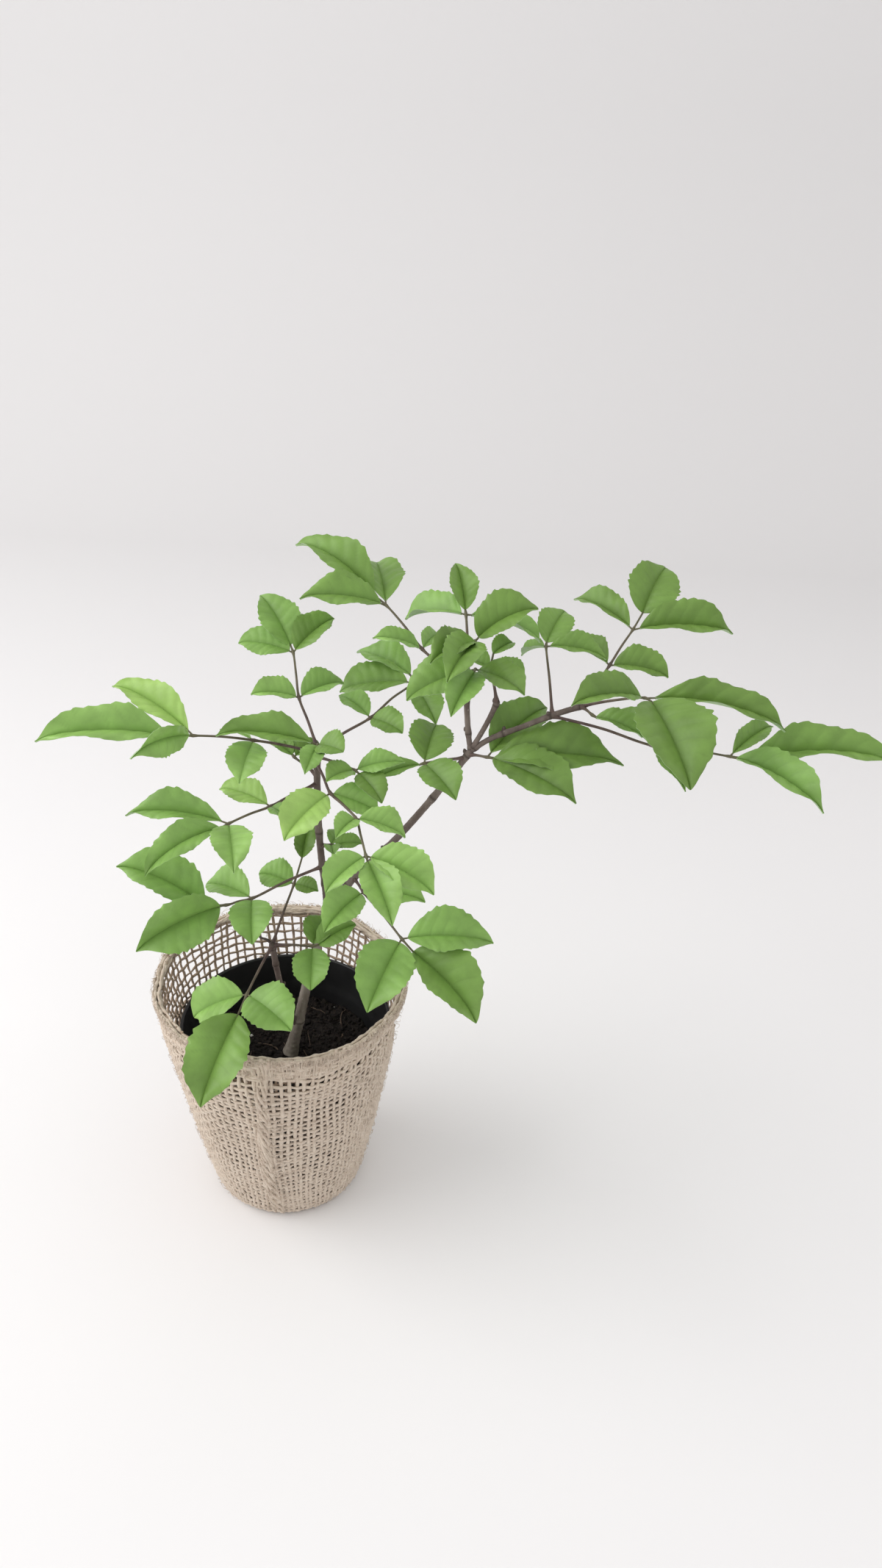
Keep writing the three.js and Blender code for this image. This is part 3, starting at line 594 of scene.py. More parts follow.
def bark_material(name, low, high, lenticel):
    shader = Shader(name, 0.78, 0.3)
    tone = shader.ramp(shader.noise(170, 6, stretch=(1, 1, 0.35)), (0.28, low), (0.72, high))
    spots = shader.ramp(shader.noise(700, 2), (0.66, BLACK), (0.74, WHITE))
    shader.colour(shader.mix(shader.mark(), shader.mix(spots, tone, lenticel), tinted(low, 0.55)))
    grain = shader.noise(900, 5, stretch=(1, 1, 0.25))
    shader.bump((grain, 0.5, 0.0004), (shader.noise(3000, 2), 0.25, 0.0001))
    return shader.material


def jute_material(name, low, high):
    shader = Shader(name, 0.95, 0.15)
    shader.fill(shader.shader, {"Sheen Weight": 0.25})
    tone = shader.ramp(shader.noise(300, 5), (0.25, low), (0.75, high))
    fine = shader.ramp(shader.noise(2400, 3), (0.3, BLACK), (0.75, tinted(WHITE, 0.55)))
    shader.colour(shader.mix(fine, tone, tinted(low, 0.72)))
    shader.bump((shader.noise(2600, 4), 0.7, 0.0004), (shader.noise(700, 3), 0.4, 0.0006))
    return shader.material


def soil_material():
    shader = Shader("soil_crumb", 0.95, 0.2)
    dark, middle, light = (0.009, 0.008, 0.008), (0.022, 0.018, 0.017), (0.060, 0.044, 0.036)
    shader.colour(shader.ramp(shader.noise(420, 6, 0.7), (0.25, dark), (0.5, middle), (0.75, light)))
    shader.bump((shader.noise(900, 6, 0.7), 0.9, 0.001), (shader.cells(1200), 0.5, 0.0006))
    return shader.material


def plastic_material():
    shader = Shader("pot_plastic", 0.42, 0.45)
    tones = (0.3, (0.010, 0.010, 0.011)), (0.7, (0.020, 0.020, 0.021))
    shader.colour(shader.ramp(shader.noise(60, 4), *tones))
    shader.roughness(shader.scaled(shader.noise(240, 4), 0.34, 0.62))
    shader.bump((shader.noise(1800, 2), 0.15, 0.0001))
    return shader.material


def plain_material(name, low, high):
    shader = Shader(name, 0.8, 0.3)
    shader.colour(shader.ramp(shader.noise(900, 3), (0.3, low), (0.7, high)))
    shader.bump((shader.noise(1500, 3), 0.4, 0.0004))
    return shader.material


# ---------------------------------------------------------------- leaves


def sided(value, hand):
    """A value given for both hands, or as [left, right]; hand is 1 for left."""
    if isinstance(value, list):
        return value[0] if hand > 0 else value[1]
    return value


def compound_leaf(leaf, seed):
    """The points of a compound leaf's stalk, its joints' places among them, and its leaflets."""
    stalk = [limb_curves[leaf["limb"]].along(leaf["at"])]
    joints, leaflets = [], []
    turn, rise, draw = leaf["turn"], leaf["rise"], 0

    def grow(length, steer, lifts):
        for lift in lifts:
            stalk.append(stalk[-1] + heading(steer, lift) * length / len(lifts))

    def add_leaflet(leaflet_turn, leaflet_rise, length, given, hand, is_end=False):
        nonlocal draw
        draw += 4
        leaflets.append({
            "foot": stalk[-1],
            "turn": leaflet_turn + SCATTER["turn"] * chance(seed, draw),
            "rise": leaflet_rise + SCATTER["rise"] * chance(seed, draw + 1),
            "roll": sided(given.get("roll", 0), hand) + SCATTER["roll"] * chance(seed, draw + 2),
            "length": length * (1 + SCATTER["length"] * chance(seed, draw + 3)),
            "breadth": sided(given.get("breadth", leaf["breadth"]), hand),
            "fold": sided(given.get("fold", LEAFLET["fold"]), hand),
            "curl": sided(given.get("curl", LEAFLET["curl"]), hand),
            "is_end": is_end,
            "seed": seed * 10 + len(leaflets),
        })

    for given in leaf["pairs"]:
        turn += given["sweep"]
        rise += given["bend"]
        grow(given["reach"], turn, [rise + STALK["arch"], rise])
        joints.append(len(stalk) - 1)
        if given["size"] == 0:
            continue
        for hand in (1, -1):
            if hand == given["bare"]:
                continue
            size = given["size"] * (1 + hand * given["uneven"])
            leaflet_turn = turn + given["skew"] + hand * given["spread"]
            add_leaflet(leaflet_turn, given["lift"] + hand * given["bank"], size, given, hand)
    last = leaf["end"]
    grow(last["gap"], turn + last["hook"] / 2, [(rise + last["rise"]) / 2])
    add_leaflet(turn + last["hook"], last["rise"], last["size"], last, 1, True)
    return stalk, joints, leaflets


def outline(t, breadth):
    """Half width of a blade over its widest, from foot to tip: an oval with a drawn-out point."""
    power = LEAFLET["slender"] - LEAFLET["fullness"] * breadth
    body = np.sin(math.pi * np.clip(t, 0, 1) ** LEAFLET["widest"]) ** power
    return body * (1 - LEAFLET["tip_drawn_in"] * smooth(LEAFLET["tip_from"], LEAFLET["tip_to"], t))


def saw(t):
    """A forward-leaning tooth, 0 to 1, for each whole number."""
    f, crest = t - np.floor(t), LEAFLET["tooth_crest"]
    return np.where(f < crest, f / crest, (1 - f) / (1 - crest))


def leaflet_axes(leaflet):
    """The midrib's points, and the directions across and above the blade at each."""
    steps, seed = LEAFLET["steps"], leaflet["seed"]
    t = np.linspace(0, 1, steps + 1)
    droop = LEAFLET["droop"] * smooth(LEAFLET["droop_from"], 1.0, t)
    rise = leaflet["rise"] + leaflet["curl"] * (0.5 - t) - droop
    from_bend = t - 0.35
    bend = LEAFLET["bend"] * chance(seed, 51) * from_bend ** 2 * np.sign(from_bend)
    along = heading(leaflet["turn"] + bend, rise)
    strides = np.concatenate([[np.zeros(3)], np.cumsum(along[:-1], 0)])
    spine = leaflet["foot"] + strides * leaflet["length"] / steps
    across = unit(np.cross(LEAN, along))
    lift = np.cross(along, across)
    roll = np.radians(leaflet["roll"] + LEAFLET["twist"] * chance(seed, 52) * t)[:, None]
    cos, sin = np.cos(roll), np.sin(roll)
    return spine, across * cos + lift * sin, lift * cos - across * sin


def toothed_half_widths(blade, sideways, leaflet):
    """Half the blade's width at each place along it, with teeth in the columns at its edges."""
    widest = leaflet["length"] * leaflet["breadth"] / 2
    half = np.maximum(LEAFLET["narrowest"], widest * outline(blade, leaflet["breadth"]))
    half = half[:, None] * np.ones_like(sideways)
    for hand in (-1, 1):
        phase = share(leaflet["seed"], 53 + hand)
        tooth = saw(blade * LEAFLET["teeth"] + phase) * (1 + 0.5 * np.sin(blade * 17 + phase * 9))
        tooth *= smooth(0.08, 0.2, blade) * (1 - smooth(0.8, 0.95, blade))
        edge = 1 + LEAFLET["tooth"] * tooth
        half = np.where(sideways * hand > 0.86, half * edge[:, None], half)
    return half


def blade_relief(u, w, half, leaflet):
    """The blade's height over its midrib, its thickness and its veins, at u along and w across it."""
    size, length = np.abs(w), leaflet["length"]
    scale = length / 40
    ribs = LEAFLET["veins"] * (u - 0.17 * size * (1 - 0.4 * u)) + 0.3 * (w > 0)
    from_rib = np.abs(np.sin(math.pi * ribs))
    inner = smooth(0.03, 0.18, size) * (1 - smooth(0.88, 1.0, size)) * smooth(0.02, 0.12, u)
    raised = half * ((math.sin(math.radians(leaflet["fold"])) + 0.3) * size - 0.3 * size ** 2)
    puff = LEAFLET["puff"] * scale * (from_rib ** 0.7 - 0.55) * inner * (1 - 0.5 * smooth(0.6, 1, u))
    ripples = 2 * math.pi * (1.7 * u + share(leaflet["seed"], 56)) + (w > 0) * 2.1
    wave = LEAFLET["wave"] * length * size ** 3 * np.sin(ripples)
    wave *= smooth(0.1, 0.4, u) * (1 - smooth(0.85, 1, u))
    height = raised + puff + wave - 0.25 * hump(size, 0.05) * scale
    thick = LEAFLET["thickness"] * (1 - 0.5 * size ** 4)
    thick = thick + 0.55 * hump(size * half, 0.55) * (1 - 0.6 * u) + 0.16 * hump(from_rib, 0.16) * inner
    vein = 0.55 * hump(from_rib, 0.13) * inner + hump(size * half, 0.5)
    return height, thick, np.clip(vein, 0, 1)


def add_leaflet(blades, stems, leaflet, tint):
    """One leaflet: a toothed blade folded at its midrib, puffed between its veins, and its stem."""
    steps, columns = LEAFLET["steps"], LEAFLET["columns"]
    spine, across, lift = leaflet_axes(leaflet)
    first = round((0 if leaflet["is_end"] else LEAFLET["stem"]) * steps)
    t = np.linspace(0, 1, steps + 1)
    blade = (t[first:] - t[first]) / (1 - t[first])
    sideways = np.linspace(-1, 1, 2 * columns + 1)
    sideways = np.sign(sideways) * np.abs(sideways) ** 0.85
    half = toothed_half_widths(blade, sideways, leaflet)
    height, thick, vein = blade_relief(blade[:, None], sideways[None], half, leaflet)
    reach = half * sideways * math.cos(math.radians(leaflet["fold"]))
    middle, side, up = (rows[first:, None] for rows in (spine, across, lift))
    top = middle + side * reach[..., None] + up * height[..., None]
    bottom = top - up * thick[..., None]
    over, under = sheet_faces(*half.shape)
    slots = np.repeat([tint, len(LEAF_TINTS)], [len(over), len(under)])
    faces = np.concatenate([over, under])
    blades.add(np.concatenate([top, bottom]), faces, slot=slots, mark=np.tile(vein.ravel(), 2))

    rows = max(2, first + 3)
    along = np.linspace(0, 1, rows)
    radii = LEAFLET["stem_radius"] * (1.25 - 0.45 * along)
    tube(stems, spine[:rows] - lift[:rows] * 0.25, radii, 6, mark=0.35 + 0.4 * along)


def add_stalk(stems, stalk, joints):
    """A compound leaf's stalk, swollen at its foot and at each joint."""
    curve = Curve(stalk)
    points = curve.spread(STALK["step"])
    place = np.linspace(0, 1, len(points))
    lengths = place * curve.length
    radii = STALK["foot_radius"] + (STALK["end_radius"] - STALK["foot_radius"]) * place
    radii = radii + 0.7 * hump(lengths, 2.6)
    for joint in joints:
        centre = curve.lengths[int(round(joint / (len(stalk) - 1) * curve.samples[-1]))]
        radii = radii + STALK["knee"] * hump(lengths - centre, 1.3)
    tube(stems, points, radii, STALK["sides"], mark=np.clip(place * 0.6 - 0.1, 0, 1))


def make_foliage():
    """Every leaf and stalk; leaves of one group of limbs are one piece, which replaces their masses."""
    groups = {group: Pile() for group in ("low", "left", "right")}
    stood_for = {group: [] for group in groups}
    stems = Pile()
    for place, (name, leaf) in enumerate(FOLIAGE.items()):
        seed = place + 1
        stalk, joints, leaflets = compound_leaf(leaf, seed)
        group = GROUP_OF[leaf["limb"]]
        stood_for[group].append(name)
        for number, leaflet in enumerate(leaflets):
            shift = round(0.9 * chance(seed, 70 + number))
            tint = min(len(LEAF_TINTS) - 1, max(0, leaf["tint"] + shift))
            add_leaflet(groups[group], stems, leaflet, tint)
        add_stalk(stems, stalk, joints)
    skins = leaf_materials()
    for group, pile in groups.items():
        piece = pile.build(f"leaves_{group}", skins, sharp=65)
        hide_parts(*stood_for[group])
        place_piece(piece)
    piece = stems.build("leaf_stalks", [stalk_material()])
    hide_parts(*FOLIAGE)
    place_piece(piece)


def place_piece(piece):
    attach(piece, "root")


# ---------------------------------------------------------------- limbs


def add_limb(pile, name):
    """One limb with lengthwise bark wrinkles, a ridge and scar at each joint, and a blunt bud."""
    limb, curve, seed = LIMBS[name], limb_curves[name], len(name)
    rows = round(curve.length / 0.5)
    part = np.linspace(0, 1, rows + 1)
    points = np.array([curve.at(t) for t in part])
    foot, tip = limb["radii"]
    radii = foot + (tip - foot) * part + limb.get("flare", 0) * np.exp(-part * 14)
    dark = np.zeros(rows + 1)
    for joint in limb["joints"]:
        distance = (part - joint) * curve.length
        radii = radii + 0.3 * hump(distance, 1.9)
        dark = np.maximum(dark, 0.8 * hump(distance, 0.55))
    if name != "trunk":
        onward = unit(points[-1] - points[-2]) * tip
        points = np.concatenate([points, points[-1] + onward * [[0.6], [1.3]]])
        radii = np.concatenate([radii, [tip * 0.95, tip * 0.45]])
        dark = np.concatenate([dark, [0.6, 0.9]])

    def relief(angle, row):
        wrinkle = np.sin(angle * 7 + row * 0.05 + seed) * 0.05 + np.sin(angle * 12 - row * 0.11) * 0.04
        ring = np.sin(row * 0.9 + 1.5 * np.sin(angle * 2 + seed)) * 0.03
        return (wrinkle + ring) * (radii[row] / 1.6)

    tube(pile, points, radii, 24, mark=dark, relief=relief)


def add_bud(pile, point, direction, length):
    part = np.linspace(0, 1, 9)
    points = point + unit(direction) * (part * length)[:, None]
    radii = length * 0.36 * np.sin(math.pi * (0.12 + 0.85 * part)) ** 0.8 + 0.05
    tube(pile, points, radii, 10, mark=0.45)


def add_dead_twig(pile, foot, direction, length):
    part = np.linspace(0, 1, 12)
    waver = np.array([0, 0, 0.8]) * np.sin(part * 5)[:, None]
    tube(pile, foot + direction * (part * length)[:, None] + waver, 0.75 - 0.3 * part, 8, mark=0.8)


def make_limbs():
    materials = {
        "bark": bark_material(
            "bark_trunk", (0.185, 0.152, 0.126), (0.380, 0.335, 0.290), (0.46, 0.41, 0.36)
        ),
        "twig": bark_material(
            "bark_twig", (0.085, 0.060, 0.052), (0.230, 0.185, 0.165), (0.34, 0.29, 0.26)
        ),
    }
    for name, limb in LIMBS.items():
        pile, curve = Pile(), limb_curves[name]
        add_limb(pile, name)
        for number, joint in enumerate(limb["joints"][1:]):
            side = heading(137 * number + 40 * len(name), 40)
            foot = curve.at(joint) + side * limb["radii"][1] * 0.6
            add_bud(pile, foot, side + np.array([0, 0, 0.5]), 2.6)
        if name == "low_shoot":
            add_dead_twig(pile, curve.at(1), heading(155, 22), 8)
        slot = "bark" if name == "trunk" else "twig"
        piece = pile.build(f"wood_{name}", [materials[slot]])
        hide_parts(name)
        place_piece(piece)


# ---------------------------------------------------------------- sleeve


def from_seam(angle):
    """The angle from the seam, -pi to pi."""
    return np.arctan2(np.sin(angle + math.pi / 2), np.cos(angle + math.pi / 2))


def sleeve_points(angle, height, outward):
    """Points on the sleeve's skin at an angle and a height up it, moved outward from it."""
    s, seam_angle = SLEEVE, from_seam(angle)
    part = height / s["height"]
    foot = s["foot_radius"] + s["slack"]
    radius = foot + (s["rim_radius"] - foot) * np.clip(part, 0, 2) ** 0.92
    radius = radius - s["foot_in"] * np.clip(1 - height / s["foot_round"], 0, 1) ** 2
    folds = 1 + 0.6 * np.sin(angle * 5 + 0.6) + 0.4 * np.sin(angle * 9 + 2)
    swell = s["seam_ridge"] * hump(seam_angle, s["seam_width"]) + s["ripple"] * folds
    radius = radius - s["wall"] / 2 + swell * np.minimum(1, part * 3) + outward
    rim = -s["rim_wave"] * np.cos(seam_angle) + 0.8 * np.sin(angle * 7)
    mouth = smooth(s["tuck_from"], s["height"], height)
    x = np.cos(angle) * radius - s["lean"] * part
    y = np.sin(angle) * radius * np.where(np.sin(angle) < 0, 1 - s["tuck"] * mouth, 1)
    z = height + rim * np.maximum(0, part - 0.6) / 0.4
    return np.stack([x, y, z], -1)


def wander(angle, height, seed, size):
    """A smooth drift, the same at the same place, for yarns that don't lie true."""
    total = 0
    for k in range(4):
        a, b = 3 + round(5 * share(seed, k)), 0.03 + 0.07 * share(seed, k + 9)
        total = total + np.sin(angle * a + height * b * (1 if k % 2 else -1) + 6.3 * share(seed, k + 20))
    return total * size / 2.2


def front(angle):
    """1 at the sleeve's seam side, 0 at its back."""
    return smooth(-0.15, 0.75, np.cos(from_seam(angle)))


def weave(pile, pitch, radius, flat, offset, seed, top, drift, lift):
    """One layer of plain weave: uprights and rounds that pass over and under one another."""
    mid = 0.5 * (SLEEVE["foot_radius"] + SLEEVE["rim_radius"]) + 4
    uprights = 2 * round(2 * math.pi * mid / pitch / 2)
    rounds = round((SLEEVE["height"] - 3) / pitch)

    def lay(angle, height, sign, slub, keep):
        """A yarn along a line on the cloth, wherever keep is true for long enough."""
        angle = angle + wander(angle, height, seed, drift) / mid
        height = height + wander(angle, height * 2, seed + 5, drift) * np.minimum(1, height / 12)
        sag = 5.5 * np.exp(-np.abs(from_seam(angle)) / 0.5) * np.sin(np.clip(height / 95, 0, 1) * math.pi)
        height = height - sag * np.where(from_seam(angle) > 0, 1.0, 0.35)
        points = sleeve_points(angle, height, offset + sign * lift)
        outward = around(1, angle, 0)
        for first, last in runs(keep):
            if last - first > 4:
                stretch = slice(first, last)
                tube(pile, points[stretch], radius * slub[stretch], 5, flat=flat, upward=outward[stretch])

    for k in range(uprights):
        angle = (k + 0.12 * chance(seed, k)) * 2 * math.pi / uprights
        ceiling = float(top(np.array(angle)))
        height = np.linspace(0.9, ceiling, max(4, 2 * round((ceiling - 1) / pitch) + 1))
        slub = 1 + 0.16 * np.sin(height * 0.31 + k * 2.1) + 0.12 * np.sin(height * 0.87 + k)
        sign = np.cos(math.pi * (height / pitch + k))
        lay(angle + 0.0024 * np.sin(height * 0.21 + k), height, sign, slub, np.ones(len(height), bool))
    count = uprights * 2
    angle = np.linspace(0, 2 * math.pi, count + 1)
    for row in range(rounds + 1):
        level = 1.2 + row * (SLEEVE["height"] - 2.4) / rounds
        height = level + 0.35 * chance(seed + 2, row) + 0.25 * np.sin(angle * 6 + row * 1.7)
        slub = 1 + 0.16 * np.sin(angle * 19 + row * 2.3) + 0.12 * np.sin(angle * 41 + row)
        sign = -np.cos(math.pi * (np.arange(count + 1) / 2 + round(level / pitch)))
        lay(angle, height, sign, slub, top(angle) >= level - 0.3)


def runs(keep):
    """The start and end of each unbroken stretch of true values."""
    padded = np.concatenate([[False], keep, [False]])
    edges = np.flatnonzero(padded[1:] != padded[:-1])
    return list(zip(edges[::2], edges[1::2]))


def add_hem(pile):
    """The rim: close-lying rounds, a deep band at the front and a narrow one at the back."""
    angle = np.linspace(0, 2 * math.pi, 421)
    for layer, rows, pitch in ((1.0, 9, 1.15), (-0.9, 4, 1.2)):
        for row in range(rows):
            depth = 0.4 + row * pitch * (0.45 + 0.55 * front(angle))
            height = SLEEVE["height"] - depth + 0.35 * np.sin(angle * 23 + row * 2.2) * (row + 1) / rows
            outward = layer * (1 + 0.25 * np.sin(angle * 31 + row)) + 0.3 * np.sin(angle * 13 + row * 1.3)
            radius = 0.72 * (1 + 0.25 * np.sin(angle * 47 + row * 3.1) + 0.15 * np.sin(angle * 90 + row))
            tube(pile, sleeve_points(angle, height, outward), radius, 6)
    for k, middle in enumerate(circle(260)):
        middle = middle + 0.01 * chance(3, k)
        depth = np.linspace(0, 3 + 6 * float(front(np.array(middle))), 7)
        lean = 0.02 * chance(4, k) * depth / 4
        outward = 1.7 + 0.35 * np.sin(depth * 1.9 + k)
        points = sleeve_points(middle + lean, SLEEVE["height"] + 0.3 - depth, outward)
        tube(pile, points, 0.42 + 0.12 * chance(5, k), 5)


def add_seam(pile):
    """The gathered seam: yarns drawn together into a twisted ridge from rim to foot."""
    height = np.linspace(3, SLEEVE["height"] - 1, 150)
    for strand in range(7):
        turn = 2 * math.pi * strand / 7
        twist = height * 0.16 + turn + 0.8 * np.sin(height * 0.07 + strand)
        spread = (1.7 + 0.7 * np.sin(height * 0.11 + strand)) * (0.5 + 0.5 * np.cos(height / 60))
        angle = -math.pi / 2 + (np.cos(twist) * (1.2 + np.abs(spread))) / 52 - 0.045 * np.sin(height / 38)
        outward = 1.1 + 0.7 * np.sin(twist)
        radius = 0.7 * (1 + 0.25 * np.sin(height * 0.6 + strand * 2))
        tube(pile, sleeve_points(angle, height, outward), radius, 6)


def add_fibres(pile):
    """Stray hairs of jute that stand off the cloth, most of them along the rim and the seam."""
    for k in range(SLEEVE["fibres"]):
        where = share(11, k)
        angle = 2 * math.pi * share(12, k)
        if where < 0.42:
            height = SLEEVE["height"] - 2.5 * share(13, k)
        elif where < 0.55:
            angle, height = -math.pi / 2 + 0.12 * chance(12, k), 6 + 110 * share(13, k)
        else:
            height = 2 + 116 * share(13, k)
        length = 2.5 + 5.5 * share(14, k) ** 2
        part = np.linspace(0, 1, 6)
        bend, tilt = chance(15, k), chance(16, k)
        outward = 0.9 + 1.9 * np.sin(part * math.pi * (0.5 + 0.5 * share(17, k)))
        run = angle + (bend * part + 0.3 * chance(18, k) * part ** 2) * length / 55
        rise = height + tilt * part * length * 0.7 + 0.6 * np.sin(part * 4 + k)
        rise = np.clip(rise, 1.2, SLEEVE["height"] + 2)
        tube(pile, sleeve_points(run, rise, outward), 0.13 - 0.07 * part, 3)


def make_sleeve():
    jute = jute_material("jute_yarn", (0.640, 0.520, 0.415), (0.820, 0.720, 0.600))
    # The inner layer's yarn is the same jute painted darker: painted shade for the inside of the sleeve,
    # which stands out of the light.
    shaded = jute_material("jute_yarn_painted_shade", (0.370, 0.265, 0.190), (0.560, 0.430, 0.330))
    height = SLEEVE["height"]

    def full(angle):
        return np.full(np.shape(angle), height - 0.8)

    def most(angle):
        return 90 + (height - 90) * smooth(0.12, 0.62, front(angle)) + 2 * np.sin(angle * 11)

    inner = {"pitch": 3.9, "radius": 0.66, "flat": 0.8, "offset": -0.75, "drift": 0.8, "lift": 0.42}
    outer = {"pitch": 3.05, "radius": 0.92, "flat": 0.62, "offset": 1.05, "drift": 1.1, "lift": 0.4}
    parts = {
        "sleeve_weave_inner": (shaded, lambda pile: weave(pile, seed=3, top=full, **inner)),
        "sleeve_weave_outer": (jute, lambda pile: weave(pile, seed=8, top=most, **outer)),
        "sleeve_hem": (jute, lambda pile: (add_hem(pile), add_seam(pile))),
        "sleeve_fibres": (jute, add_fibres),
        "sleeve_base": (jute, add_base),
    }
    for name, (material, work) in parts.items():
        pile = Pile()
        work(pile)
        finish_sleeve_piece(pile.build(name, [material]))


def finish_sleeve_piece(piece):
    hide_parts("burlap_sleeve")
    place_piece(piece)


def add_base(pile):
    """The flat cloth under the pot."""
    rings, sides = 12, 96
    angle = circle(sides)
    radius = np.linspace(0.5, SLEEVE["foot_radius"] - 0.6, rings)[:, None]
    upper = around(radius, angle, 1.3 + 0.12 * np.sin(angle * 24) * np.sin(radius * 0.8))
    lower = around(radius, angle, 0.1)[::-1]
    faces = grid_faces(2 * rings, sides), shut_faces(2 * rings, sides)
    pile.add(np.concatenate([upper, lower]), *faces)


# ---------------------------------------------------------------- pot and soil


def pot_radius(z):
    part = (z - POT["base"]) / POT["height"]
    return POT["foot_radius"] + (POT["rim_radius"] - POT["foot_radius"]) * np.clip(part, 0, 2) ** 0.9


def make_pot():
    """A thin moulded shell with shallow upright ribs, a stepped collar and a rolled lip."""
    base, rim, wall, middle = POT["base"], POT["base"] + POT["height"], POT["wall"], POT["middle"]
    up = np.linspace(base, rim - POT["lip_drop"] - 0.2, 46)

    def side(heights, inward):
        step = POT["collar_step"]
        return [(pot_radius(z) - inward + (step if z > rim - POT["collar"] else 0), z) for z in heights]

    bead = POT["lip"] * 0.75
    across, level = POT["rim_radius"] + POT["lip"] - bead - 0.1, rim - bead
    turns = np.linspace(-0.5 * math.pi, math.pi, 14)
    lip = [(across + bead * math.cos(a), level + bead * math.sin(a)) for a in turns]
    inside = side([z for z in up[::-1] if z > base + wall], wall)
    floor = [(pot_radius(base + wall) - wall, base + wall), (middle, base + wall)]
    profile = np.array([(middle, base)] + side(up, 0) + lip + inside + floor)

    rows, sides = len(profile), 160
    angle = circle(sides)
    reach, z = profile[:, :1], profile[:, 1:] + 0 * angle
    rib = POT["rib"] * smooth(0.6, 0.95, np.cos(angle * POT["ribs"]))
    above = smooth(rim - 18, rim, z)
    sway = 0.5 * above * np.sin(angle * 2 + 0.8) + 0.35 * above * np.sin(angle * 3 + 2)
    radius = reach + sway * (reach > 10) + rib * (1 - above) * (z > base + 4)
    points = around(radius, angle, z + 0.4 * above * np.sin(angle * 2))
    pile = Pile()
    pile.add(points, grid_faces(rows, sides), shut_faces(rows, sides))
    piece = pile.build("pot_shell", [plastic_material()], sharp=50)
    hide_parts("nursery_pot")
    place_piece(piece)


def soil_height(x, y):
    """The soil's surface: level with low humps, heaped a little at the trunk, crumbly all over."""
    place = Vector((x * 0.09, y * 0.09, 0.3))
    broad = noise.noise(place) * 1.6
    lumps = noise.noise(place * 3.1) * 1.1 + abs(noise.noise(place * 7.3)) * 1.3
    fine = noise.noise(place * 19) * 0.5
    heap = 1.6 * math.exp(-((x - 2) ** 2 + y ** 2) / 60)
    return SOIL["top"] - 1.4 + broad + lumps + fine + heap


def crumb(pile, centre, size, seed, slot):
    """A lump of soil: a rough twenty-faced ball."""
    golden = (1 + 5 ** 0.5) / 2
    corners = unit(np.array([
        (-1, golden, 0), (1, golden, 0), (-1, -golden, 0), (1, -golden, 0),
        (0, -1, golden), (0, 1, golden), (0, -1, -golden), (0, 1, -golden),
        (golden, 0, -1), (golden, 0, 1), (-golden, 0, -1), (-golden, 0, 1),
    ]))
    faces = [
        (0, 11, 5), (0, 5, 1), (0, 1, 7), (0, 7, 10), (0, 10, 11), (1, 5, 9), (5, 11, 4),
        (11, 10, 2), (10, 7, 6), (7, 1, 8), (3, 9, 4), (3, 4, 2), (3, 2, 6), (3, 6, 8),
        (3, 8, 9), (4, 9, 5), (2, 4, 11), (6, 2, 10), (8, 6, 7), (9, 8, 1),
    ]
    rough = 1 + 0.35 * np.array([chance(seed, k) for k in range(12)])
    wide, deep, high = (chance(seed, k) for k in (20, 21, 22))
    squash = np.array([1 + 0.3 * wide, 1 + 0.3 * deep, 0.75 + 0.2 * high])
    pile.add(centre + corners * rough[:, None] * squash * size, faces, slot=slot)


def make_soil():
    """The potted soil: a lumpy top inside the pot's wall, with loose crumbs, perlite and fine roots."""
    materials = [
        soil_material(),
        plain_material("perlite", (0.62, 0.61, 0.58), (0.85, 0.84, 0.80)),
        plain_material("soil_root", (0.070, 0.048, 0.036), (0.170, 0.120, 0.090)),
    ]
    body = Pile()
    sides = 190
    clear = POT["wall"] + SOIL["gap"]
    edge, base = pot_radius(SOIL["top"]) - clear, POT["base"] + POT["wall"] + 0.3
    angle = circle(sides)

    def ring(radius, level=None):
        points = around(radius, angle, 0.0 if level is None else level)
        if level is None:
            points[:, 2] = [soil_height(x, y) for x, y, _ in points]
        return points

    rows = [ring(radius) for radius in np.linspace(0.4, edge, 62)]
    rows += [ring(pot_radius(z) - clear, z) for z in np.linspace(SOIL["top"] - SOIL["edge"], base, 7)]
    rows.append(ring(0.4, base))
    points = np.array(rows)[::-1]
    body.add(points, grid_faces(len(rows), sides))
    body.add([*points[0], (0, 0, base)], [((k + 1) % sides, k, sides) for k in range(sides)])
    top = [0, 0, soil_height(0, 0)]
    body.add([*points[-1], top], [(k, (k + 1) % sides, sides) for k in range(sides)])
    for k in range(SOIL["crumbs"]):
        x, y, _ = around(edge * 0.985 * math.sqrt(share(31, k)), 2 * math.pi * share(32, k), 0)
        size = 0.35 + 1.15 * share(33, k) ** 4
        slot = 1 if share(34, k) > SOIL["perlite"] else 0
        crumb(body, np.array([x, y, soil_height(x, y) + size * 0.25]), size, 40 + k, slot)
    for k in range(SOIL["roots"]):
        foot = around(edge * 0.94 * math.sqrt(share(36, k)), 2 * math.pi * share(35, k), 0)
        part = np.linspace(0, 1, 12)
        length = 4 + 12 * share(37, k)
        turn = 360 * share(38, k) + 40 * chance(39, k) * part + 15 * np.sin(part * 5 + k)
        path = foot + np.cumsum(heading(turn, 0 * part) * length / 11, 0)
        reach = np.hypot(path[:, 0], path[:, 1])
        path[:, :2] *= np.minimum(1, edge * 0.97 / reach)[:, None]
        path[:, 2] = [soil_height(x, y) + 0.25 for x, y, _ in path]
        path[:, 2] += 1.4 * np.sin(part * math.pi) * share(40, k) ** 2
        tube(body, path, (0.16 + 0.3 * share(41, k) ** 3) * (1 - 0.5 * part), 5, 2)
    piece = body.build("potting_soil", materials)
    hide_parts("root_ball")
    place_piece(piece)


# ---------------------------------------------------------------- stage, light and camera


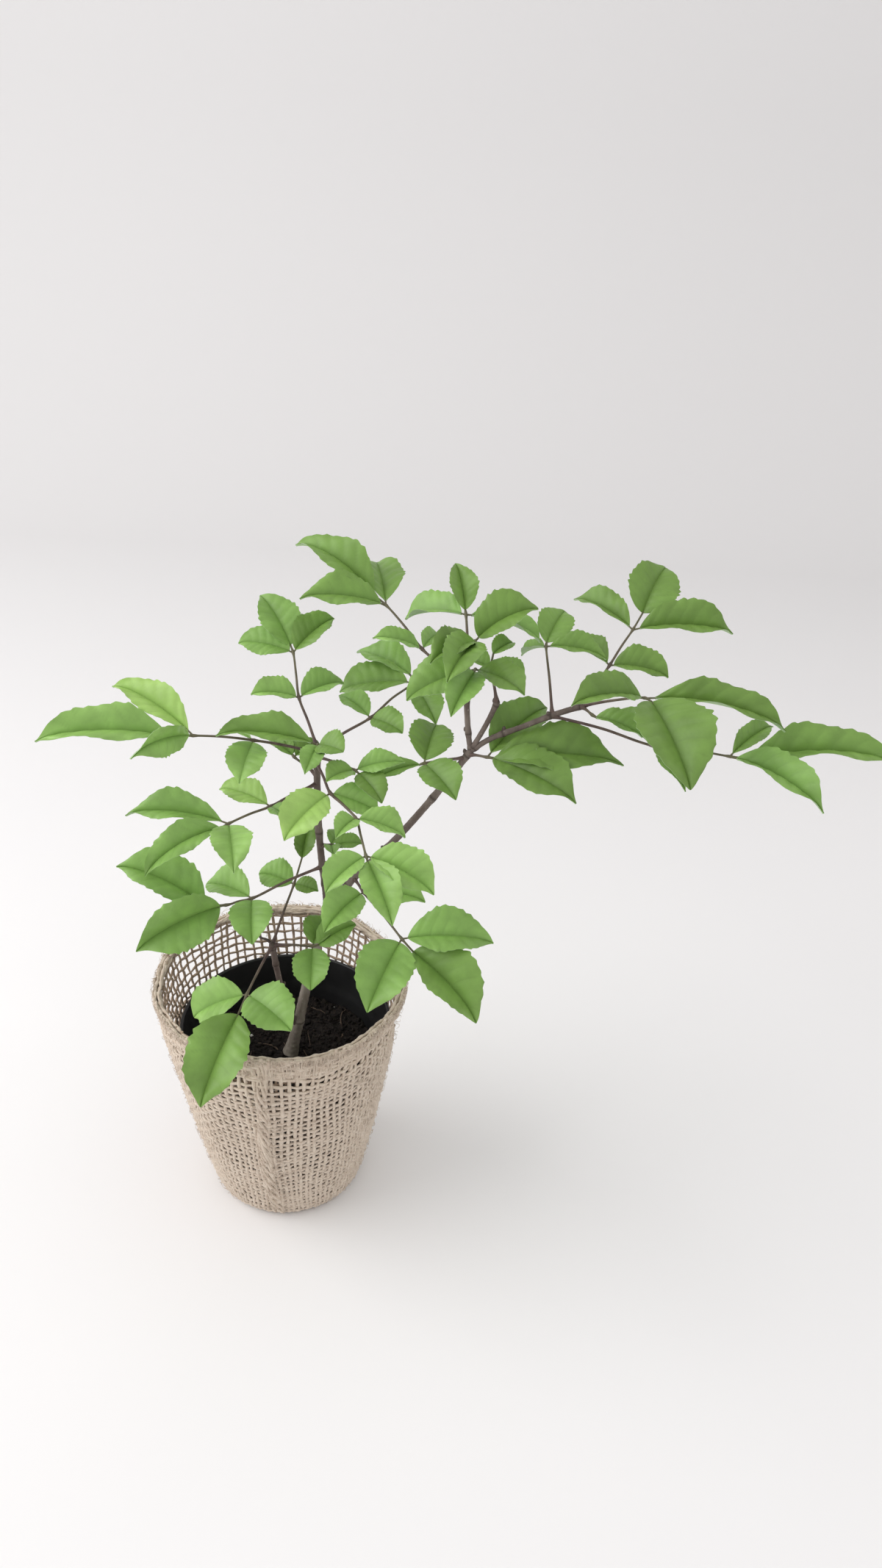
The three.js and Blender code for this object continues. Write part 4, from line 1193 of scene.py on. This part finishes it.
def make_stage():
    """A white floor that curves up into a wall, greyed from the near floor to the wall by painted shade;
    mark is 0 on the near floor and 1 at the wall.
    """
    far, bend, wide = 900, 500, 2600
    # Each point's last value is its share of painted shade: none on the near floor, rising to full grey
    # at the wall.
    profile = [(-1800, 0, 0.0), (100, 0, 0.0), (350, 0, 0.25), (600, 0, 0.55), (far, 0, 0.85)]
    for a in np.linspace(0, math.pi / 2, 13)[1:]:
        profile.append((far + bend * math.sin(a), bend * (1 - math.cos(a)), 1.0))
    profile.append((far + bend, 3000, 1.0))
    points = [(x, y, z - 0.05) for y, z, _ in profile for x in (-wide, wide)]
    pile = Pile()
    marks = np.repeat([mark for *_, mark in profile], 2)
    pile.add(points, grid_faces(len(profile), 2, wrap=False), mark=marks)
    shader = Shader("studio_white", 0.85, 0.2)
    near = shader.ramp(shader.noise(4, 2), (0.2, (0.885, 0.880, 0.885)), (0.8, (0.905, 0.900, 0.905)))
    # Painted shade: the floor's white is mixed towards grey as mark rises, full grey on the wall.
    shader.colour(shader.mix(shader.mark(), near, (0.745, 0.738, 0.740)))
    pile.build("studio_floor", [shader.material])


def area_light(name, at, towards, size, watts, colour):
    data = bpy.data.lights.new(name, "AREA")
    data.shape, data.size = "DISK", size
    data.energy, data.color = watts, colour
    lamp = bpy.data.objects.new(name, data)
    lamp.location = Vector(at)
    lamp.rotation_mode = "QUATERNION"
    lamp.rotation_quaternion = (Vector(towards) - Vector(at)).to_track_quat("-Z", "Y")
    bpy.context.scene.collection.objects.link(lamp)


def make_light():
    world = bpy.data.worlds.new("studio")
    world.use_nodes = True
    background = next(n for n in world.node_tree.nodes if n.type == "BACKGROUND")
    background.inputs["Color"].default_value = (1.0, 0.985, 0.98, 1)
    background.inputs["Strength"].default_value = 0.86
    bpy.context.scene.world = world
    area_light("window", (-1.25, -0.15, 0.95), (0.0, -0.1, 0.05), 1.6, 14, (1.0, 0.99, 0.985))
    bpy.context.scene.view_settings.view_transform = "Standard"


def make_camera():
    """The eye stands in front of the plant, looks 30 degrees down, and is held 3 degrees askew."""
    eye, pitch, roll = Vector((70.5, -445.7, 493.0)) * MM, math.radians(30), math.radians(3)
    long_side, focal = 2134, 1606
    data = bpy.data.cameras.new("eye")
    data.sensor_width = 36
    data.lens = focal / long_side * data.sensor_width
    data.clip_start = 0.01
    camera = bpy.data.objects.new("eye", data)
    turn = Matrix.Rotation(math.pi / 2 - pitch, 4, "X") @ Matrix.Rotation(roll, 4, "Z")
    camera.matrix_world = Matrix.Translation(eye) @ turn
    bpy.context.scene.collection.objects.link(camera)
    bpy.context.scene.camera = camera


# ---------------------------------------------------------------- assembly

limb_curves = {name: Curve(limb["points"]) for name, limb in LIMBS.items()}

make_camera()
make_light()
make_stage()
make_sleeve()
make_pot()
make_soil()
make_limbs()
make_foliage()
